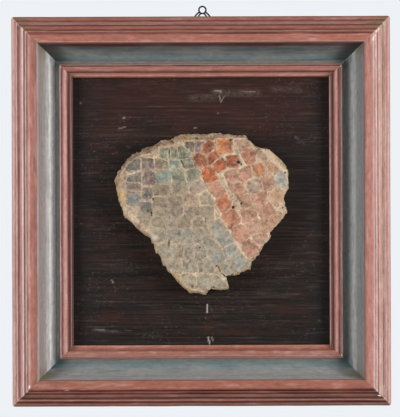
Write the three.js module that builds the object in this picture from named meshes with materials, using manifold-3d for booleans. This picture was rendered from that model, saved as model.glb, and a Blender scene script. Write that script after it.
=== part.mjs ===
// Mosaic panel: a broken piece of stone mosaic on a dark board, inside a moulded wooden frame
// that hangs from a wire eye.
// Millimetres, +Z up. The front looks towards -Y, the wall is the plane y = 0, and the origin
// is the centre of the eye at the wall. A height is a distance in front of the wall.

import * as THREE from "three";
import { mergeVertices } from "three/addons/utils/BufferGeometryUtils.js";
import Module from "manifold-3d";

const wasm = await Module();
wasm.setup();

// Fits between neighbours
const fitGap = 0.3;
const mitreGap = 0.2;
const boardClearance = 0.5;

// Frame
const frameWidth = 400;
const frameHeight = 412;
const frameDrop = 11;
const frameShift = -2;
const mouldingWidth = 63;
const rebateWidth = 8;
const rebateDepth = 15;

// Moulding members, in order from the outer edge to the sight edge
const rimRound = 3;
const rimFlat = 1;
const quirkWidth = 0.6;
const quirkDepth = 1.2;
const outerBeadWidth = 3.4;
const outerGrooveWidth = 1.4;
const ovoloWidth = 4.4;
const innerQuirkWidth = 1;
const innerBeadWidth = 2.8;
const bandWidth = 9.7;
const filletWidth = 1.2;
const sightQuirkWidth = 1.8;
const sightBeadWidth = 5.4;
const coveWidth = 3.1;
const lipWidth = 1.5;
const hollowRunOut = 7;

// Heights of the members above the wall
const rimHeight = 36;
const outerBeadHeight = 38;
const ovoloFoot = 37.5;
const ovoloHeight = 42.5;
const innerBeadHeight = 44.5;
const bandHeight = 46;
const bandArris = 1;
const hollowHeight = 20;
const hollowEdgeHeight = 24.5;
const filletHeight = 26;
const sightBeadHeight = 28.5;
const coveHeight = 23;
const lipHeight = 19.5;

// Backboard
const boardThickness = 12;

// Mosaic fragment, placed from the centre of the frame
const fragmentWidth = 184;
const fragmentShift = 1.6;
const fragmentDrop = 2.6;
const slabThickness = 23;
const breakWidth = 3.2;
const breakWidthWidest = 6.5;
const breakDirection = 112;
const breakStep = 9;
const breakRoughness = 0.9;
const underReach = 1.3;

// Tesserae
const tesseraAcross = 13.6;
const tesseraDepth = 7.5;
const tesseraProud = 0.4;
const tesseraUneven = 0.35;
const tesseraTaper = 0.06;
const jointWidth = 2.3;
const centreDrift = 1.6;
const headingDrift = 0.2;
const knockedShare = 0.7;
const shortestSide = 1;
const padDepth = 3;

// Crack
const crackWidth = 1.5;
const crackDepth = 3;

// Wire hanger and its screws
const wireThickness = 1.4;
const eyeBore = 6.2;
const wallClearance = 0.2;
const footSpread = 14.6;
const footDrop = 25.6;
const footBore = 4.2;
const screwHeadRadius = 3.6;
const screwHeadThickness = 1.8;
const screwHeadRim = 0.7;
const screwHeadClearance = 0.5;
const screwShankRadius = 1.75;
const screwLength = 14;
const screwPoint = 4;
const slotWidth = 0.9;
const slotDepth = 0.8;
const slotTurn = 0.6;
const housingMargin = 1.6;
const wireSides = 5;
const eyeSides = 14;
const strandSpacing = 3.6;
const legRootAngle = 40;
const legRootSpread = 18;
const legTipAngle = 42;

// Worked-out places
const hollowWidth = mouldingWidth - rimRound - rimFlat - quirkWidth - outerBeadWidth
  - outerGrooveWidth - ovoloWidth - 2 * innerQuirkWidth - innerBeadWidth - bandWidth
  - filletWidth - sightQuirkWidth - sightBeadWidth - coveWidth - lipWidth;
const frameCentreZ = -frameDrop - frameHeight / 2;
const boardFront = rebateDepth - fitGap;
const boardBack = boardFront - boardThickness;
const slabBack = boardFront + fitGap;
const slabFace = slabBack + slabThickness;
const wireRadius = wireThickness / 2;
const eyeRadius = (eyeBore + wireThickness) / 2;
const footRadius = (footBore + wireThickness) / 2;
const eyeHeight = wallClearance + wireRadius;
const headBack = screwHeadClearance + screwHeadThickness;
const footHeight = headBack + fitGap + wireRadius;
const housingDepth = footHeight + wireRadius + fitGap;

// The outline of the broken slab, corner by corner and clockwise from the left end, in
// hundredths of its width from its centre
const breakCorners = [
  [-50.5, 21.0], [-44.4, 30.7], [-40.6, 34.9], [-23.9, 42.6], [-12.0, 46.0], [14.6, 46.4],
  [24.5, 45.1], [31.0, 39.0], [39.7, 36.2], [49.5, 25.1], [50.2, 17.5], [47.0, 9.2],
  [49.0, 0.3], [39.5, -11.1], [38.7, -14.5], [28.6, -27.9], [27.2, -32.5], [16.0, -35.9],
  [13.4, -36.4], [15.1, -43.2], [13.8, -44.2], [4.1, -44.3], [1.8, -46.3], [-7.9, -46.3],
  [-13.4, -40.5], [-21.0, -32.7], [-25.1, -24.5], [-27.6, -22.3], [-28.5, -17.8], [-30.2, -14.5],
  [-43.2, -3.9], [-46.1, -0.4], [-50.1, 13.3],
];

// The crack that runs up from the notch in the lower edge, in the same shares
const crackLine = [
  [14.2, -37.0], [8.1, -29.5], [9.8, -23.7], [11.0, -20.2], [8.7, -16.2], [5.2, -13.3],
  [2.3, -9.8], [1.5, -1.7], [0.0, 2.9],
];

// Courses of tesserae: the first and the last centre in the same shares, and how many stones
// stand between them. A loose course has its stones standing clear of the mortar, each a
// piece of its own. In the others the stones are veiled by mortar and grown into the slab.
const courses = [
  { from: [-1.4, 31.5], to: [26.3, -19.7], count: 7, loose: true },
  { from: [2.9, 37.0], to: [9.2, 27.5], count: 3, loose: true, along: 12.5, across: 15 },
  { from: [17.3, 21.1], to: [32.9, -14.7], count: 6, loose: true, across: 14.6 },
  { from: [12.7, 38.7], to: [12.7, 38.7], count: 1, loose: true, across: 15.5 },
  { from: [16.9, 30.1], to: [16.9, 30.1], count: 1, loose: true, across: 11.5 },
  { from: [25.1, 23.1], to: [36.4, 0.9], count: 4, loose: true, across: 15 },
  { from: [22.5, 40.2], to: [42.2, 9.8], count: 5, loose: true },
  { from: [34.7, 33.5], to: [44.8, 19.1], count: 3, loose: true },
  { from: [35.3, -7.5], to: [42.2, -3.5], count: 2, loose: true },
  { from: [-7.2, 37.9], to: [-2.3, 38.1], count: 2, loose: true, across: 10 },
  { from: [-22.0, 33.8], to: [-9.8, 35.0], count: 3, loose: true, across: 11 },
  { from: [-39.0, 28.0], to: [-8.1, 28.3], count: 5, loose: true, across: 11.5 },
  { from: [-38.7, 20.8], to: [-5.8, 22.0], count: 5, loose: true },
  { from: [-32.1, 12.1], to: [-32.1, 4.0], count: 2, loose: true, across: 10 },
  { from: [-39.3, 15.0], to: [-39.0, 7.8], count: 2, loose: true },
  { from: [19.4, 5.5], to: [19.4, 5.5], count: 1, across: 9 },
  { from: [-23.1, 13.3], to: [-3.5, 15.9], count: 3 },
  { from: [-24.3, 6.4], to: [1.7, 8.4], count: 4 },
  { from: [-24.3, 0.8], to: [2.3, 0.8], count: 4 },
  { from: [-33.5, -2.9], to: [-2.3, -5.3], count: 5 },
  { from: [-25.4, -12.1], to: [-1.2, -13.0], count: 4 },
  { from: [-22.0, -20.8], to: [-1.4, -22.0], count: 4 },
  { from: [-16.2, -30.1], to: [1.7, -30.1], count: 3 },
  { from: [-8.1, -38.7], to: [9.2, -39.4], count: 3 },
  { from: [8.7, -8.1], to: [20.8, -28.3], count: 4 },
  { from: [4.0, -19.1], to: [13.9, -31.2], count: 3 },
];

// Kinds of stone and the patches of the mosaic where each is used: the centre of a patch and
// its reach, in the same shares. A tessera is of the kind whose patch lies nearest to it.
const stones = {
  green: { colour: 0x7f8d76, patches: [[-14, 27, 13], [-9, 22, 5], [-20, 34, 6]] },
  mist: { colour: 0x93a199, patches: [[-22, 20, 4], [-15.5, 28, 3]] },
  slate: { colour: 0x5c5c5a, patches: [[-39, 25, 9], [-32, 8, 6]] },
  ash: { colour: 0x7f8587, patches: [[-39, 7.8, 4]] },
  chalk: { colour: 0xb3a895, patches: [[44.8, 19.1, 4]] },
  plum: { colour: 0x6f625f, patches: [[-31, 27, 6], [-30, 21, 4], [-39, 15, 4], [-2.3, 38, 3]] },
  wine: { colour: 0x513638, patches: [[-7.2, 38, 3]] },
  umber: { colour: 0x7d6a54, patches: [[-23.5, 28, 3.5], [-24, 13, 5]] },
  brick: { colour: 0x8f5746, patches: [[2, 35, 6], [7, 32, 4], [16.8, 30, 4]] },
  coral: { colour: 0xb06349, patches: [[9.2, 27.5, 4], [3.5, 23, 4], [12.5, 6, 5], [17, -2, 4]] },
  orange: { colour: 0xbd7a53, patches: [[12.7, 38.7, 6], [33, 26, 3.5]] },
  rose: { colour: 0xa87363, patches: [[22, 12, 12], [21, -11, 6], [29, 33, 5], [37, 1, 6]] },
  blush: { colour: 0xc28d79, patches: [[32.6, 8.3, 4.5]] },
  dun: { colour: 0xa98e79, patches: [[22.5, 40, 5], [35, 33.5, 5], [28.8, 15.5, 4], [30, -8, 4]] },
  tan: { colour: 0xa5876b, patches: [[42.2, 9.8, 5], [40, -5, 6], [40, 27, 3]] },
};

const finishes = {
  paintedWood: { color: 0xa06a5e, roughness: 0.75, metalness: 0 },
  darkWood: { color: 0x231b18, roughness: 0.7, metalness: 0 },
  mortar: { color: 0xa8957c, roughness: 0.95, metalness: 0 },
  iron: { color: 0x1c1a19, roughness: 0.5, metalness: 0.9 },
};

// Repeatable unevenness between 0 and 1
function uneven(index, salt) {
  const wave = Math.sin(index * 12.9898 + salt * 78.233) * 43758.5453;
  return wave - Math.floor(wave);
}

function between(from, to, share) {
  return from + (to - from) * share;
}

function toSolid(geometry) {
  const bare = geometry.clone();
  bare.deleteAttribute("normal");
  bare.deleteAttribute("uv");
  const merged = mergeVertices(bare, 1e-4);
  const vertProperties = new Float32Array(merged.attributes.position.array);
  const triVerts = new Uint32Array(merged.index.array);
  return new wasm.Manifold(new wasm.Mesh({ numProp: 3, vertProperties, triVerts }));
}

function toGeometry(solid) {
  const mesh = solid.getMesh();
  const geometry = new THREE.BufferGeometry();
  geometry.setAttribute("position", new THREE.BufferAttribute(mesh.vertProperties, 3));
  geometry.setIndex(new THREE.BufferAttribute(mesh.triVerts, 1));
  geometry.computeVertexNormals();
  return geometry;
}

function piece(name, geometry, finish) {
  const mesh = new THREE.Mesh(geometry, new THREE.MeshStandardMaterial(finish));
  mesh.name = name;
  return mesh;
}

// A closed body through rings of equal length. Each ring is an outline of [x, z] points that
// runs anticlockwise as seen from the front, at its height above the wall, back ring first.
// Each end is closed from the hub, or from a corner where the outline is convex.
function loft(rings, hub = null) {
  const positions = [];
  const index = [];
  const count = rings[0].outline.length;
  for (const ring of rings) {
    for (const [x, z] of ring.outline) {
      positions.push(x, -ring.height, z);
    }
  }
  for (let level = 0; level + 1 < rings.length; level++) {
    for (let i = 0; i < count; i++) {
      const next = (i + 1) % count;
      const back = level * count;
      const front = back + count;
      index.push(back + i, back + next, front + next);
      index.push(back + i, front + next, front + i);
    }
  }
  const last = (rings.length - 1) * count;
  if (hub) {
    const ends = [rings[0], rings[rings.length - 1]];
    const [backHub, frontHub] = ends.map((ring) => {
      positions.push(hub[0], -ring.height, hub[1]);
      return positions.length / 3 - 1;
    });
    for (let i = 0; i < count; i++) {
      const next = (i + 1) % count;
      index.push(backHub, next, i);
      index.push(frontHub, last + i, last + next);
    }
  } else {
    for (let i = 1; i + 1 < count; i++) {
      index.push(0, i + 1, i);
      index.push(last, last + i, last + i + 1);
    }
  }
  const geometry = new THREE.BufferGeometry();
  geometry.setAttribute("position", new THREE.Float32BufferAttribute(positions, 3));
  geometry.setIndex(index);
  geometry.computeVertexNormals();
  return geometry;
}

function centreOf(outline) {
  const sum = outline.reduce(([a, b], [x, z]) => [a + x, b + z], [0, 0]);
  return [sum[0] / outline.length, sum[1] / outline.length];
}

function grown(outline, centre, factor) {
  return outline.map(([x, z]) => [
    centre[0] + (x - centre[0]) * factor,
    centre[1] + (z - centre[1]) * factor,
  ]);
}

// Keeps the part of a convex outline that lies within a limit along a direction
function clipped(outline, [nx, nz], limit) {
  const kept = [];
  outline.forEach((point, i) => {
    const next = outline[(i + 1) % outline.length];
    const here = point[0] * nx + point[1] * nz - limit;
    const there = next[0] * nx + next[1] * nz - limit;
    if (here <= 0) {
      kept.push(point);
    }
    if (here * there < 0) {
      const share = here / (here - there);
      kept.push([between(point[0], next[0], share), between(point[1], next[1], share)]);
    }
  });
  return kept;
}

// Outline of the moulding: distance in from the outer edge, height above the wall
function mouldingProfile() {
  const points = [[0, 0], [0, rimHeight - rimRound]];
  let reach = 0;

  function move(width, height) {
    reach += width;
    points.push([reach, height]);
  }

  // A round or hollow sweep: rise(share) gives the height at a share of the width
  function sweep(width, steps, rise) {
    const start = reach;
    for (let i = 1; i <= steps; i++) {
      const share = i / steps;
      points.push([start + width * share, rise(share)]);
    }
    reach = start + width;
  }

  function bead(width, base, crest) {
    const start = reach;
    points.push([start, base]);
    for (let i = 1; i <= 4; i++) {
      const turn = (Math.PI * i) / 5;
      const share = (1 - Math.cos(turn)) / 2;
      points.push([start + width * share, base + (crest - base) * Math.sin(turn)]);
    }
    move(width, base);
  }

  const rimFoot = rimHeight - rimRound;
  for (const turn of [30, 60, 90]) {
    const angle = THREE.MathUtils.degToRad(turn);
    points.push([rimRound * (1 - Math.cos(angle)), rimFoot + rimRound * Math.sin(angle)]);
  }
  reach = rimRound;
  move(rimFlat, rimHeight);
  move(quirkWidth / 2, rimHeight - quirkDepth);
  reach += quirkWidth / 2;
  bead(outerBeadWidth, rimHeight - 1, outerBeadHeight);
  move(outerGrooveWidth / 2, rimHeight - quirkDepth - fitGap);
  move(outerGrooveWidth / 2, ovoloFoot);
  sweep(ovoloWidth, 3, (s) => between(ovoloFoot, ovoloHeight, Math.sin((s * Math.PI) / 2)));
  move(innerQuirkWidth / 2, ovoloHeight - quirkDepth);
  reach += innerQuirkWidth / 2;
  bead(innerBeadWidth, ovoloHeight, innerBeadHeight);
  move(innerQuirkWidth / 2, ovoloHeight);
  move(innerQuirkWidth / 2, bandHeight);
  move(bandWidth, bandHeight);
  move(0, bandHeight - bandArris);
  const fall = hollowWidth - hollowRunOut;
  const start = reach;
  for (let i = 1; i <= 6; i++) {
    const turn = (Math.PI / 2) * (i / 6);
    points.push([
      start + fall * (1 - Math.cos(turn)),
      between(bandHeight - bandArris, hollowHeight, Math.sin(turn)),
    ]);
  }
  reach = start + fall;
  sweep(hollowRunOut, 3, (s) => between(hollowHeight, hollowEdgeHeight, s * s));
  move(0, filletHeight);
  move(filletWidth, filletHeight);
  move(sightQuirkWidth / 2, hollowEdgeHeight);
  reach += sightQuirkWidth / 2;
  bead(sightBeadWidth, hollowEdgeHeight, sightBeadHeight);
  move(0, coveHeight);
  sweep(coveWidth, 3, (s) => between(coveHeight, lipHeight, Math.sin((s * Math.PI) / 2)));
  move(lipWidth, lipHeight);
  move(0, rebateDepth);
  move(-rebateWidth, rebateDepth);
  move(0, 0);
  return points;
}

// A mitred length of moulding, turned to its side of the frame. The frame's centre is at the
// origin, and reach is how far the outer edge lies from it.
function rail(reach, outerLength, turn) {
  const shape = new THREE.Shape(mouldingProfile().map(([d, h]) => new THREE.Vector2(d, h)));
  const geometry = new THREE.ExtrudeGeometry(shape, { depth: 1, bevelEnabled: false });
  const position = geometry.attributes.position;
  for (let i = 0; i < position.count; i++) {
    const inward = position.getX(i);
    const height = position.getY(i);
    const side = position.getZ(i) * 2 - 1;
    const half = outerLength / 2 - inward - mitreGap;
    position.setXYZ(i, side * half, -height, inward - reach);
  }
  geometry.rotateY(turn);
  return geometry;
}

// Extrudes a sketch of [x, z] points forward from one height to another
function raised(sketch, from, to) {
  const shape = new THREE.Shape(sketch.map(([x, z]) => new THREE.Vector2(x, z)));
  const geometry = new THREE.ExtrudeGeometry(shape, { depth: to - from, bevelEnabled: false });
  geometry.rotateX(Math.PI / 2);
  geometry.translate(0, -from, 0);
  return geometry;
}

// A round bar across the panel, from one height to another, with its axis at [x, z]
function bar([x, z], radius, from, to, sides) {
  const geometry = new THREE.CylinderGeometry(radius, radius, to - from, sides);
  geometry.translate(x, -(from + to) / 2, z);
  return geometry;
}

// Housing for the wire in the back of the top rail, with its two screw holes, from the eye
function hangerHousing() {
  const overrun = 1;
  const mouth = footSpread * (frameDrop / footDrop) + footRadius + wireRadius + housingMargin;
  const foot = footSpread + screwHeadRadius + housingMargin;
  const shoulder = -footDrop + screwHeadRadius + housingMargin;
  const floor = -footDrop - screwHeadRadius - housingMargin;
  const top = -frameDrop + overrun;
  const sketch = [
    [-mouth, top], [-foot, shoulder], [-foot, floor],
    [foot, floor], [foot, shoulder], [mouth, top],
  ];
  let cutter = toSolid(raised(sketch, -overrun, housingDepth));
  for (const side of [-1, 1]) {
    const deep = headBack + screwLength + fitGap;
    const hole = bar([side * footSpread, -footDrop], screwShankRadius + fitGap, 0, deep, 14);
    cutter = cutter.add(toSolid(hole));
  }
  return cutter;
}

// Bent wire: an eye, and from it two doubled legs that each end in a foot ring for a screw
function hangerWire() {
  const corners = [];
  for (let i = 0; i < wireSides; i++) {
    const turn = (Math.PI * 2 * i) / wireSides;
    corners.push(new THREE.Vector2(Math.cos(turn) * wireRadius, Math.sin(turn) * wireRadius));
  }
  const section = new THREE.Shape(corners);

  function ring(radius, steps, x, height, z) {
    const geometry = new THREE.TorusGeometry(radius, wireRadius, wireSides, steps);
    geometry.rotateX(Math.PI / 2);
    geometry.translate(x, -height, z);
    return toSolid(geometry);
  }

  function strand(stops) {
    const extrudePath = new THREE.CatmullRomCurve3(
      stops.map(([x, height, z]) => new THREE.Vector3(x, -height, z)),
    );
    return toSolid(new THREE.ExtrudeGeometry(section, { steps: 5, extrudePath }));
  }

  let wire = ring(eyeRadius, eyeSides, 0, eyeHeight, 0);
  for (const side of [-1, 1]) {
    wire = wire.add(ring(footRadius, 9, side * footSpread, footHeight, -footDrop));
    for (const lean of [-1, 1]) {
      const root = THREE.MathUtils.degToRad(side * (legRootAngle - lean * legRootSpread));
      const tip = THREE.MathUtils.degToRad(-side * lean * legTipAngle);
      const start = [Math.sin(root) * eyeRadius, -Math.cos(root) * eyeRadius];
      const end = [
        side * footSpread + Math.sin(-tip) * footRadius,
        -footDrop + Math.cos(tip) * footRadius,
      ];
      const aside = (side * lean * strandSpacing) / 2;
      const shoulder = side * footSpread * 0.39 - aside;
      const knee = side * footSpread * 0.7 - aside;
      wire = wire.add(strand([
        [start[0], eyeHeight, start[1]],
        [shoulder, between(eyeHeight, footHeight, 0.1), -footDrop * 0.25],
        [knee, between(eyeHeight, footHeight, 0.55), -footDrop * 0.57],
        [end[0], footHeight, end[1]],
      ]));
    }
  }
  return toGeometry(wire);
}

// Round-head screw with its axis at [x, z], its head towards the wall
function screw([x, z]) {
  const tip = headBack + screwLength;
  const profile = [
    [0, tip],
    [screwShankRadius, tip - screwPoint],
    [screwShankRadius, headBack],
    [screwHeadRadius, headBack],
    [screwHeadRadius, headBack - screwHeadRim],
  ];
  for (const degrees of [30, 60]) {
    const turn = THREE.MathUtils.degToRad(degrees);
    const height = between(headBack - screwHeadRim, screwHeadClearance, Math.sin(turn));
    profile.push([screwHeadRadius * Math.cos(turn), height]);
  }
  profile.push([0, screwHeadClearance]);
  const turned = new THREE.LatheGeometry(profile.map(([r, h]) => new THREE.Vector2(r, -h)), 14);
  const cut = new THREE.BoxGeometry(screwHeadRadius * 3, slotDepth * 2, slotWidth);
  cut.rotateY(slotTurn);
  cut.translate(0, -screwHeadClearance, 0);
  const geometry = toGeometry(toSolid(turned).subtract(toSolid(cut)));
  geometry.translate(x, 0, z);
  return geometry;
}

function inShares([x, z]) {
  return [(x * fragmentWidth) / 100, (z * fragmentWidth) / 100];
}

// Foot of the broken edge, anticlockwise, with the long breaks split into short rough steps
function slabOutline() {
  const corners = breakCorners.map(inShares).reverse();
  const outline = [];
  corners.forEach((corner, i) => {
    const next = corners[(i + 1) % corners.length];
    const length = Math.hypot(next[0] - corner[0], next[1] - corner[1]);
    const steps = Math.max(1, Math.round(length / breakStep));
    for (let k = 0; k < steps; k++) {
      const x = between(corner[0], next[0], k / steps);
      const z = between(corner[1], next[1], k / steps);
      const rough = k === 0 ? 0 : (uneven(outline.length, 1) - 0.5) * 2 * breakRoughness;
      const reach = Math.hypot(x, z);
      outline.push([x * (1 + rough / reach), z * (1 + rough / reach)]);
    }
  });
  return outline;
}

// The slab's body: a broken edge that slopes in from its foot to the rim of the face. The
// slope is widest along the top. The face can be carried forward to cut the tesserae.
function slabBody(carriedForward) {
  const foot = slabOutline();
  const slopes = foot.map(([x, z], i) => {
    const away = Math.cos(Math.atan2(z, x) - THREE.MathUtils.degToRad(breakDirection));
    const wide = breakWidthWidest * Math.max(0, away) ** 4;
    return (breakWidth + wide) * between(0.8, 1.2, uneven(i, 2));
  });
  const levels = [[0.12, 0], [0.55, 0.4], [0.93, 0.85], [1, 1]];
  if (carriedForward) {
    levels.push([1.15, 1.1]);
  }

  function ringInset(height, insetOf) {
    const outline = foot.map(([x, z], i) => {
      const factor = 1 - insetOf(i) / Math.hypot(x, z);
      return [x * factor, z * factor];
    });
    return { height, outline };
  }

  const rings = [ringInset(slabBack, () => underReach)];
  for (const [rise, share] of levels) {
    rings.push(ringInset(slabBack + slabThickness * rise, (i) => slopes[i] * share));
  }
  return loft(rings, [0, 0]);
}

// Every tessera's centre, heading and greatest size, course by course
function setOut() {
  const set = [];
  for (const course of courses) {
    const from = inShares(course.from);
    const to = inShares(course.to);
    const across = course.across ?? tesseraAcross;
    const run = Math.hypot(to[0] - from[0], to[1] - from[1]);
    const pitch = course.count > 1 ? run / (course.count - 1) : across + jointWidth;
    const along = course.along ?? pitch - jointWidth / 2;
    const heading = run > 0 ? Math.atan2(to[1] - from[1], to[0] - from[0]) : 0;
    for (let i = 0; i < course.count; i++) {
      const share = course.count > 1 ? i / (course.count - 1) : 0;
      const index = set.length;
      set.push({
        index,
        loose: course.loose ?? false,
        along,
        across,
        size: Math.min(along, across),
        heading: heading + (uneven(index, 3) - 0.5) * headingDrift,
        centre: [
          between(from[0], to[0], share) + (uneven(index, 4) - 0.5) * centreDrift,
          between(from[1], to[1], share) + (uneven(index, 5) - 0.5) * centreDrift,
        ],
      });
    }
  }
  return set;
}

// A stone's outline: its box, cut back to a joint's width from each neighbour, with one
// corner knocked off most of them
function stoneOutline(stone, set) {
  const [cx, cz] = stone.centre;
  const c = Math.cos(stone.heading);
  const s = Math.sin(stone.heading);
  const corners = [[-1, -1], [1, -1], [1, 1], [-1, 1]];
  let outline = corners.map(([a, b]) => {
    const u = (a * stone.along) / 2;
    const v = (b * stone.across) / 2;
    return [cx + u * c - v * s, cz + u * s + v * c];
  });
  for (const other of set) {
    const dx = other.centre[0] - cx;
    const dz = other.centre[1] - cz;
    const distance = Math.hypot(dx, dz);
    if (other === stone || distance > 3 * tesseraAcross) {
      continue;
    }
    const normal = [dx / distance, dz / distance];
    const share = stone.size / (stone.size + other.size);
    const limit = cx * normal[0] + cz * normal[1] + distance * share - jointWidth / 2;
    outline = clipped(outline, normal, limit);
  }
  if (uneven(stone.index, 6) < knockedShare) {
    const quarter = Math.floor(uneven(stone.index, 7) * 4);
    const turn = stone.heading + (Math.PI / 4) * (1 + 2 * quarter) + (uneven(stone.index, 8) - 0.5);
    const normal = [Math.cos(turn), Math.sin(turn)];
    const reach = (stone.size / 2) * between(1.02, 1.2, uneven(stone.index, 9));
    outline = clipped(outline, normal, cx * normal[0] + cz * normal[1] + reach);
  }
  return withoutShortSides(outline);
}

function withoutShortSides(outline) {
  return outline.filter((point, i) => {
    const next = outline[(i + 1) % outline.length];
    return Math.hypot(next[0] - point[0], next[1] - point[1]) > shortestSide;
  });
}

// Least distance from a centre to the sides of an outline
function innerRadius(outline, [cx, cz]) {
  return Math.min(...outline.map(([x, z], i) => {
    const [nx, nz] = outline[(i + 1) % outline.length];
    const length = Math.hypot(nx - x, nz - z);
    return Math.abs((nx - x) * (cz - z) - (nz - z) * (cx - x)) / length;
  }));
}

function kindOfStone([x, z]) {
  let kind = null;
  let nearest = Infinity;
  for (const [name, { patches }] of Object.entries(stones)) {
    for (const [px, pz, reach] of patches) {
      const [mx, mz] = inShares([px, pz]);
      const distance = Math.hypot(x - mx, z - mz) / reach;
      if (distance < nearest) {
        nearest = distance;
        kind = name;
      }
    }
  }
  return kind;
}

// The crack as one tapering strip, cut into the face from the notch inwards
function crackCutter() {
  const line = crackLine.map(inShares);
  const left = [];
  const right = [];
  line.forEach(([x, z], i) => {
    const before = line[Math.max(0, i - 1)];
    const after = line[Math.min(line.length - 1, i + 1)];
    const dx = after[0] - before[0];
    const dz = after[1] - before[1];
    const half = (crackWidth / 2) * between(1.2, 0.35, i / (line.length - 1));
    const length = Math.hypot(dx, dz);
    left.push([x - (dz / length) * half, z + (dx / length) * half]);
    right.unshift([x + (dz / length) * half, z - (dx / length) * half]);
  });
  return toSolid(raised([...left, ...right], slabFace - crackDepth, slabFace + crackDepth));
}

// The mortar slab with its loose stones
function mosaic() {
  const group = new THREE.Group();
  const set = setOut();
  const breakCutter = toSolid(slabBody(true));
  const counts = {};
  let slab = toSolid(slabBody(false));
  for (const stone of set) {
    const outline = stoneOutline(stone, set);
    const hub = centreOf(outline);
    const half = innerRadius(outline, hub);
    const top = slabFace + tesseraProud + tesseraUneven * uneven(stone.index, 10);
    if (!stone.loose) {
      const pad = loft([
        { height: slabFace - padDepth, outline },
        { height: top, outline },
      ]);
      slab = slab.add(toSolid(pad).intersect(breakCutter));
      continue;
    }
    const back = slabFace - tesseraDepth;
    const pocketOutline = grown(outline, hub, 1 + fitGap / half);
    const pocket = loft([
      { height: back - fitGap, outline: pocketOutline },
      { height: slabFace + tesseraDepth, outline: pocketOutline },
    ]);
    slab = slab.subtract(toSolid(pocket));
    const body = loft([
      { height: back, outline: grown(outline, hub, 1 - tesseraTaper) },
      { height: top, outline },
    ]);
    const kind = kindOfStone(stone.centre);
    counts[kind] = (counts[kind] ?? 0) + 1;
    const finish = { color: stones[kind].colour, roughness: 0.8, metalness: 0 };
    const cut = toGeometry(toSolid(body).intersect(breakCutter));
    group.add(piece(`tessera_${kind}_${counts[kind]}`, cut, finish));
  }
  slab = slab.subtract(crackCutter());
  group.add(piece("mortar_bed", toGeometry(slab), finishes.mortar));
  return group;
}

const panel = new THREE.Group();

const frame = new THREE.Group();
frame.position.set(frameShift, 0, frameCentreZ);
panel.add(frame);

const topRail = toSolid(rail(frameHeight / 2, frameWidth, Math.PI));
const housing = hangerHousing().translate([-frameShift, 0, -frameCentreZ]);
const topRailCut = toGeometry(topRail.subtract(housing));
const bottomRail = rail(frameHeight / 2, frameWidth, 0);
const leftStile = rail(frameWidth / 2, frameHeight, Math.PI / 2);
const rightStile = rail(frameWidth / 2, frameHeight, -Math.PI / 2);
frame.add(piece("frame_top_rail", topRailCut, finishes.paintedWood));
frame.add(piece("frame_bottom_rail", bottomRail, finishes.paintedWood));
frame.add(piece("frame_left_stile", leftStile, finishes.paintedWood));
frame.add(piece("frame_right_stile", rightStile, finishes.paintedWood));

const boardInset = 2 * (mouldingWidth - rebateWidth + boardClearance);
const board = new THREE.BoxGeometry(
  frameWidth - boardInset,
  boardThickness,
  frameHeight - boardInset,
);
board.translate(0, -(boardBack + boardFront) / 2, 0);
frame.add(piece("backboard", board, finishes.darkWood));

const fragment = mosaic();
fragment.position.set(fragmentShift, 0, -fragmentDrop);
frame.add(fragment);

panel.add(piece("hanger_wire", hangerWire(), finishes.iron));
panel.add(piece("hanger_screw_left", screw([-footSpread, -footDrop]), finishes.iron));
panel.add(piece("hanger_screw_right", screw([footSpread, -footDrop]), finishes.iron));

export default panel;
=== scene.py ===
"""Mosaic panel: the looks of a broken stone mosaic on a dark board, in a painted wooden frame.

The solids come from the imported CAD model, and every piece here takes its place from them.
Lengths in the mesh code are millimetres, like the solids; they become metres when a mesh is made.
"""

import math

import bmesh
import bpy
import numpy as np
from bpy.props import FloatProperty, FloatVectorProperty, PointerProperty
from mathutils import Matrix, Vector, geometry, kdtree


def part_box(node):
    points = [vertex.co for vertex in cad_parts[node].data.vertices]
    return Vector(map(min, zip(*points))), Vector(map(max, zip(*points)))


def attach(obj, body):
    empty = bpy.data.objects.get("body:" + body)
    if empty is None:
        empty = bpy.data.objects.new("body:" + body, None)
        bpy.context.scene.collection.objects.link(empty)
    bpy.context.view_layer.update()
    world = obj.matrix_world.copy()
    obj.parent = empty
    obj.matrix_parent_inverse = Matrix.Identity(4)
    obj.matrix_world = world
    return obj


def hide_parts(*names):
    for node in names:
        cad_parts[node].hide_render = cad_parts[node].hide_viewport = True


bl_info = {
    "name": "Mosaic Panel",
    "version": (1, 0, 0),
    "blender": (4, 5, 0),
    "location": "View3D > Sidebar > Mosaic Panel",
    "description": "Dresses the solids of a framed mosaic fragment with stone, mortar, paint and iron",
    "category": "Object",
}

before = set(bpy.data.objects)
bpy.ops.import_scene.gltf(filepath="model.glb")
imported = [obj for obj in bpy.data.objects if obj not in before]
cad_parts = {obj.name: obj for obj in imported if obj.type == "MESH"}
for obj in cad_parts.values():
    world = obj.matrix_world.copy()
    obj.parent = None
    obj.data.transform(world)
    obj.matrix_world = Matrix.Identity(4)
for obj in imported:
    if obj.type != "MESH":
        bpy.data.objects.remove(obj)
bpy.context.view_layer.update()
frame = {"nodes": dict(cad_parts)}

MM = 0.001
BODY = "root"

# The lengths of moulding, and the quarter turns that bring each from the bottom to its place
RAILS = {
    "frame_bottom_rail": 0,
    "frame_right_stile": 1,
    "frame_top_rail": 2,
    "frame_left_stile": 3,
}

# The same lengths in the order that the tables of paint and wear list them
SIDES = ("frame_top_rail", "frame_bottom_rail", "frame_left_stile", "frame_right_stile")

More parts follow.
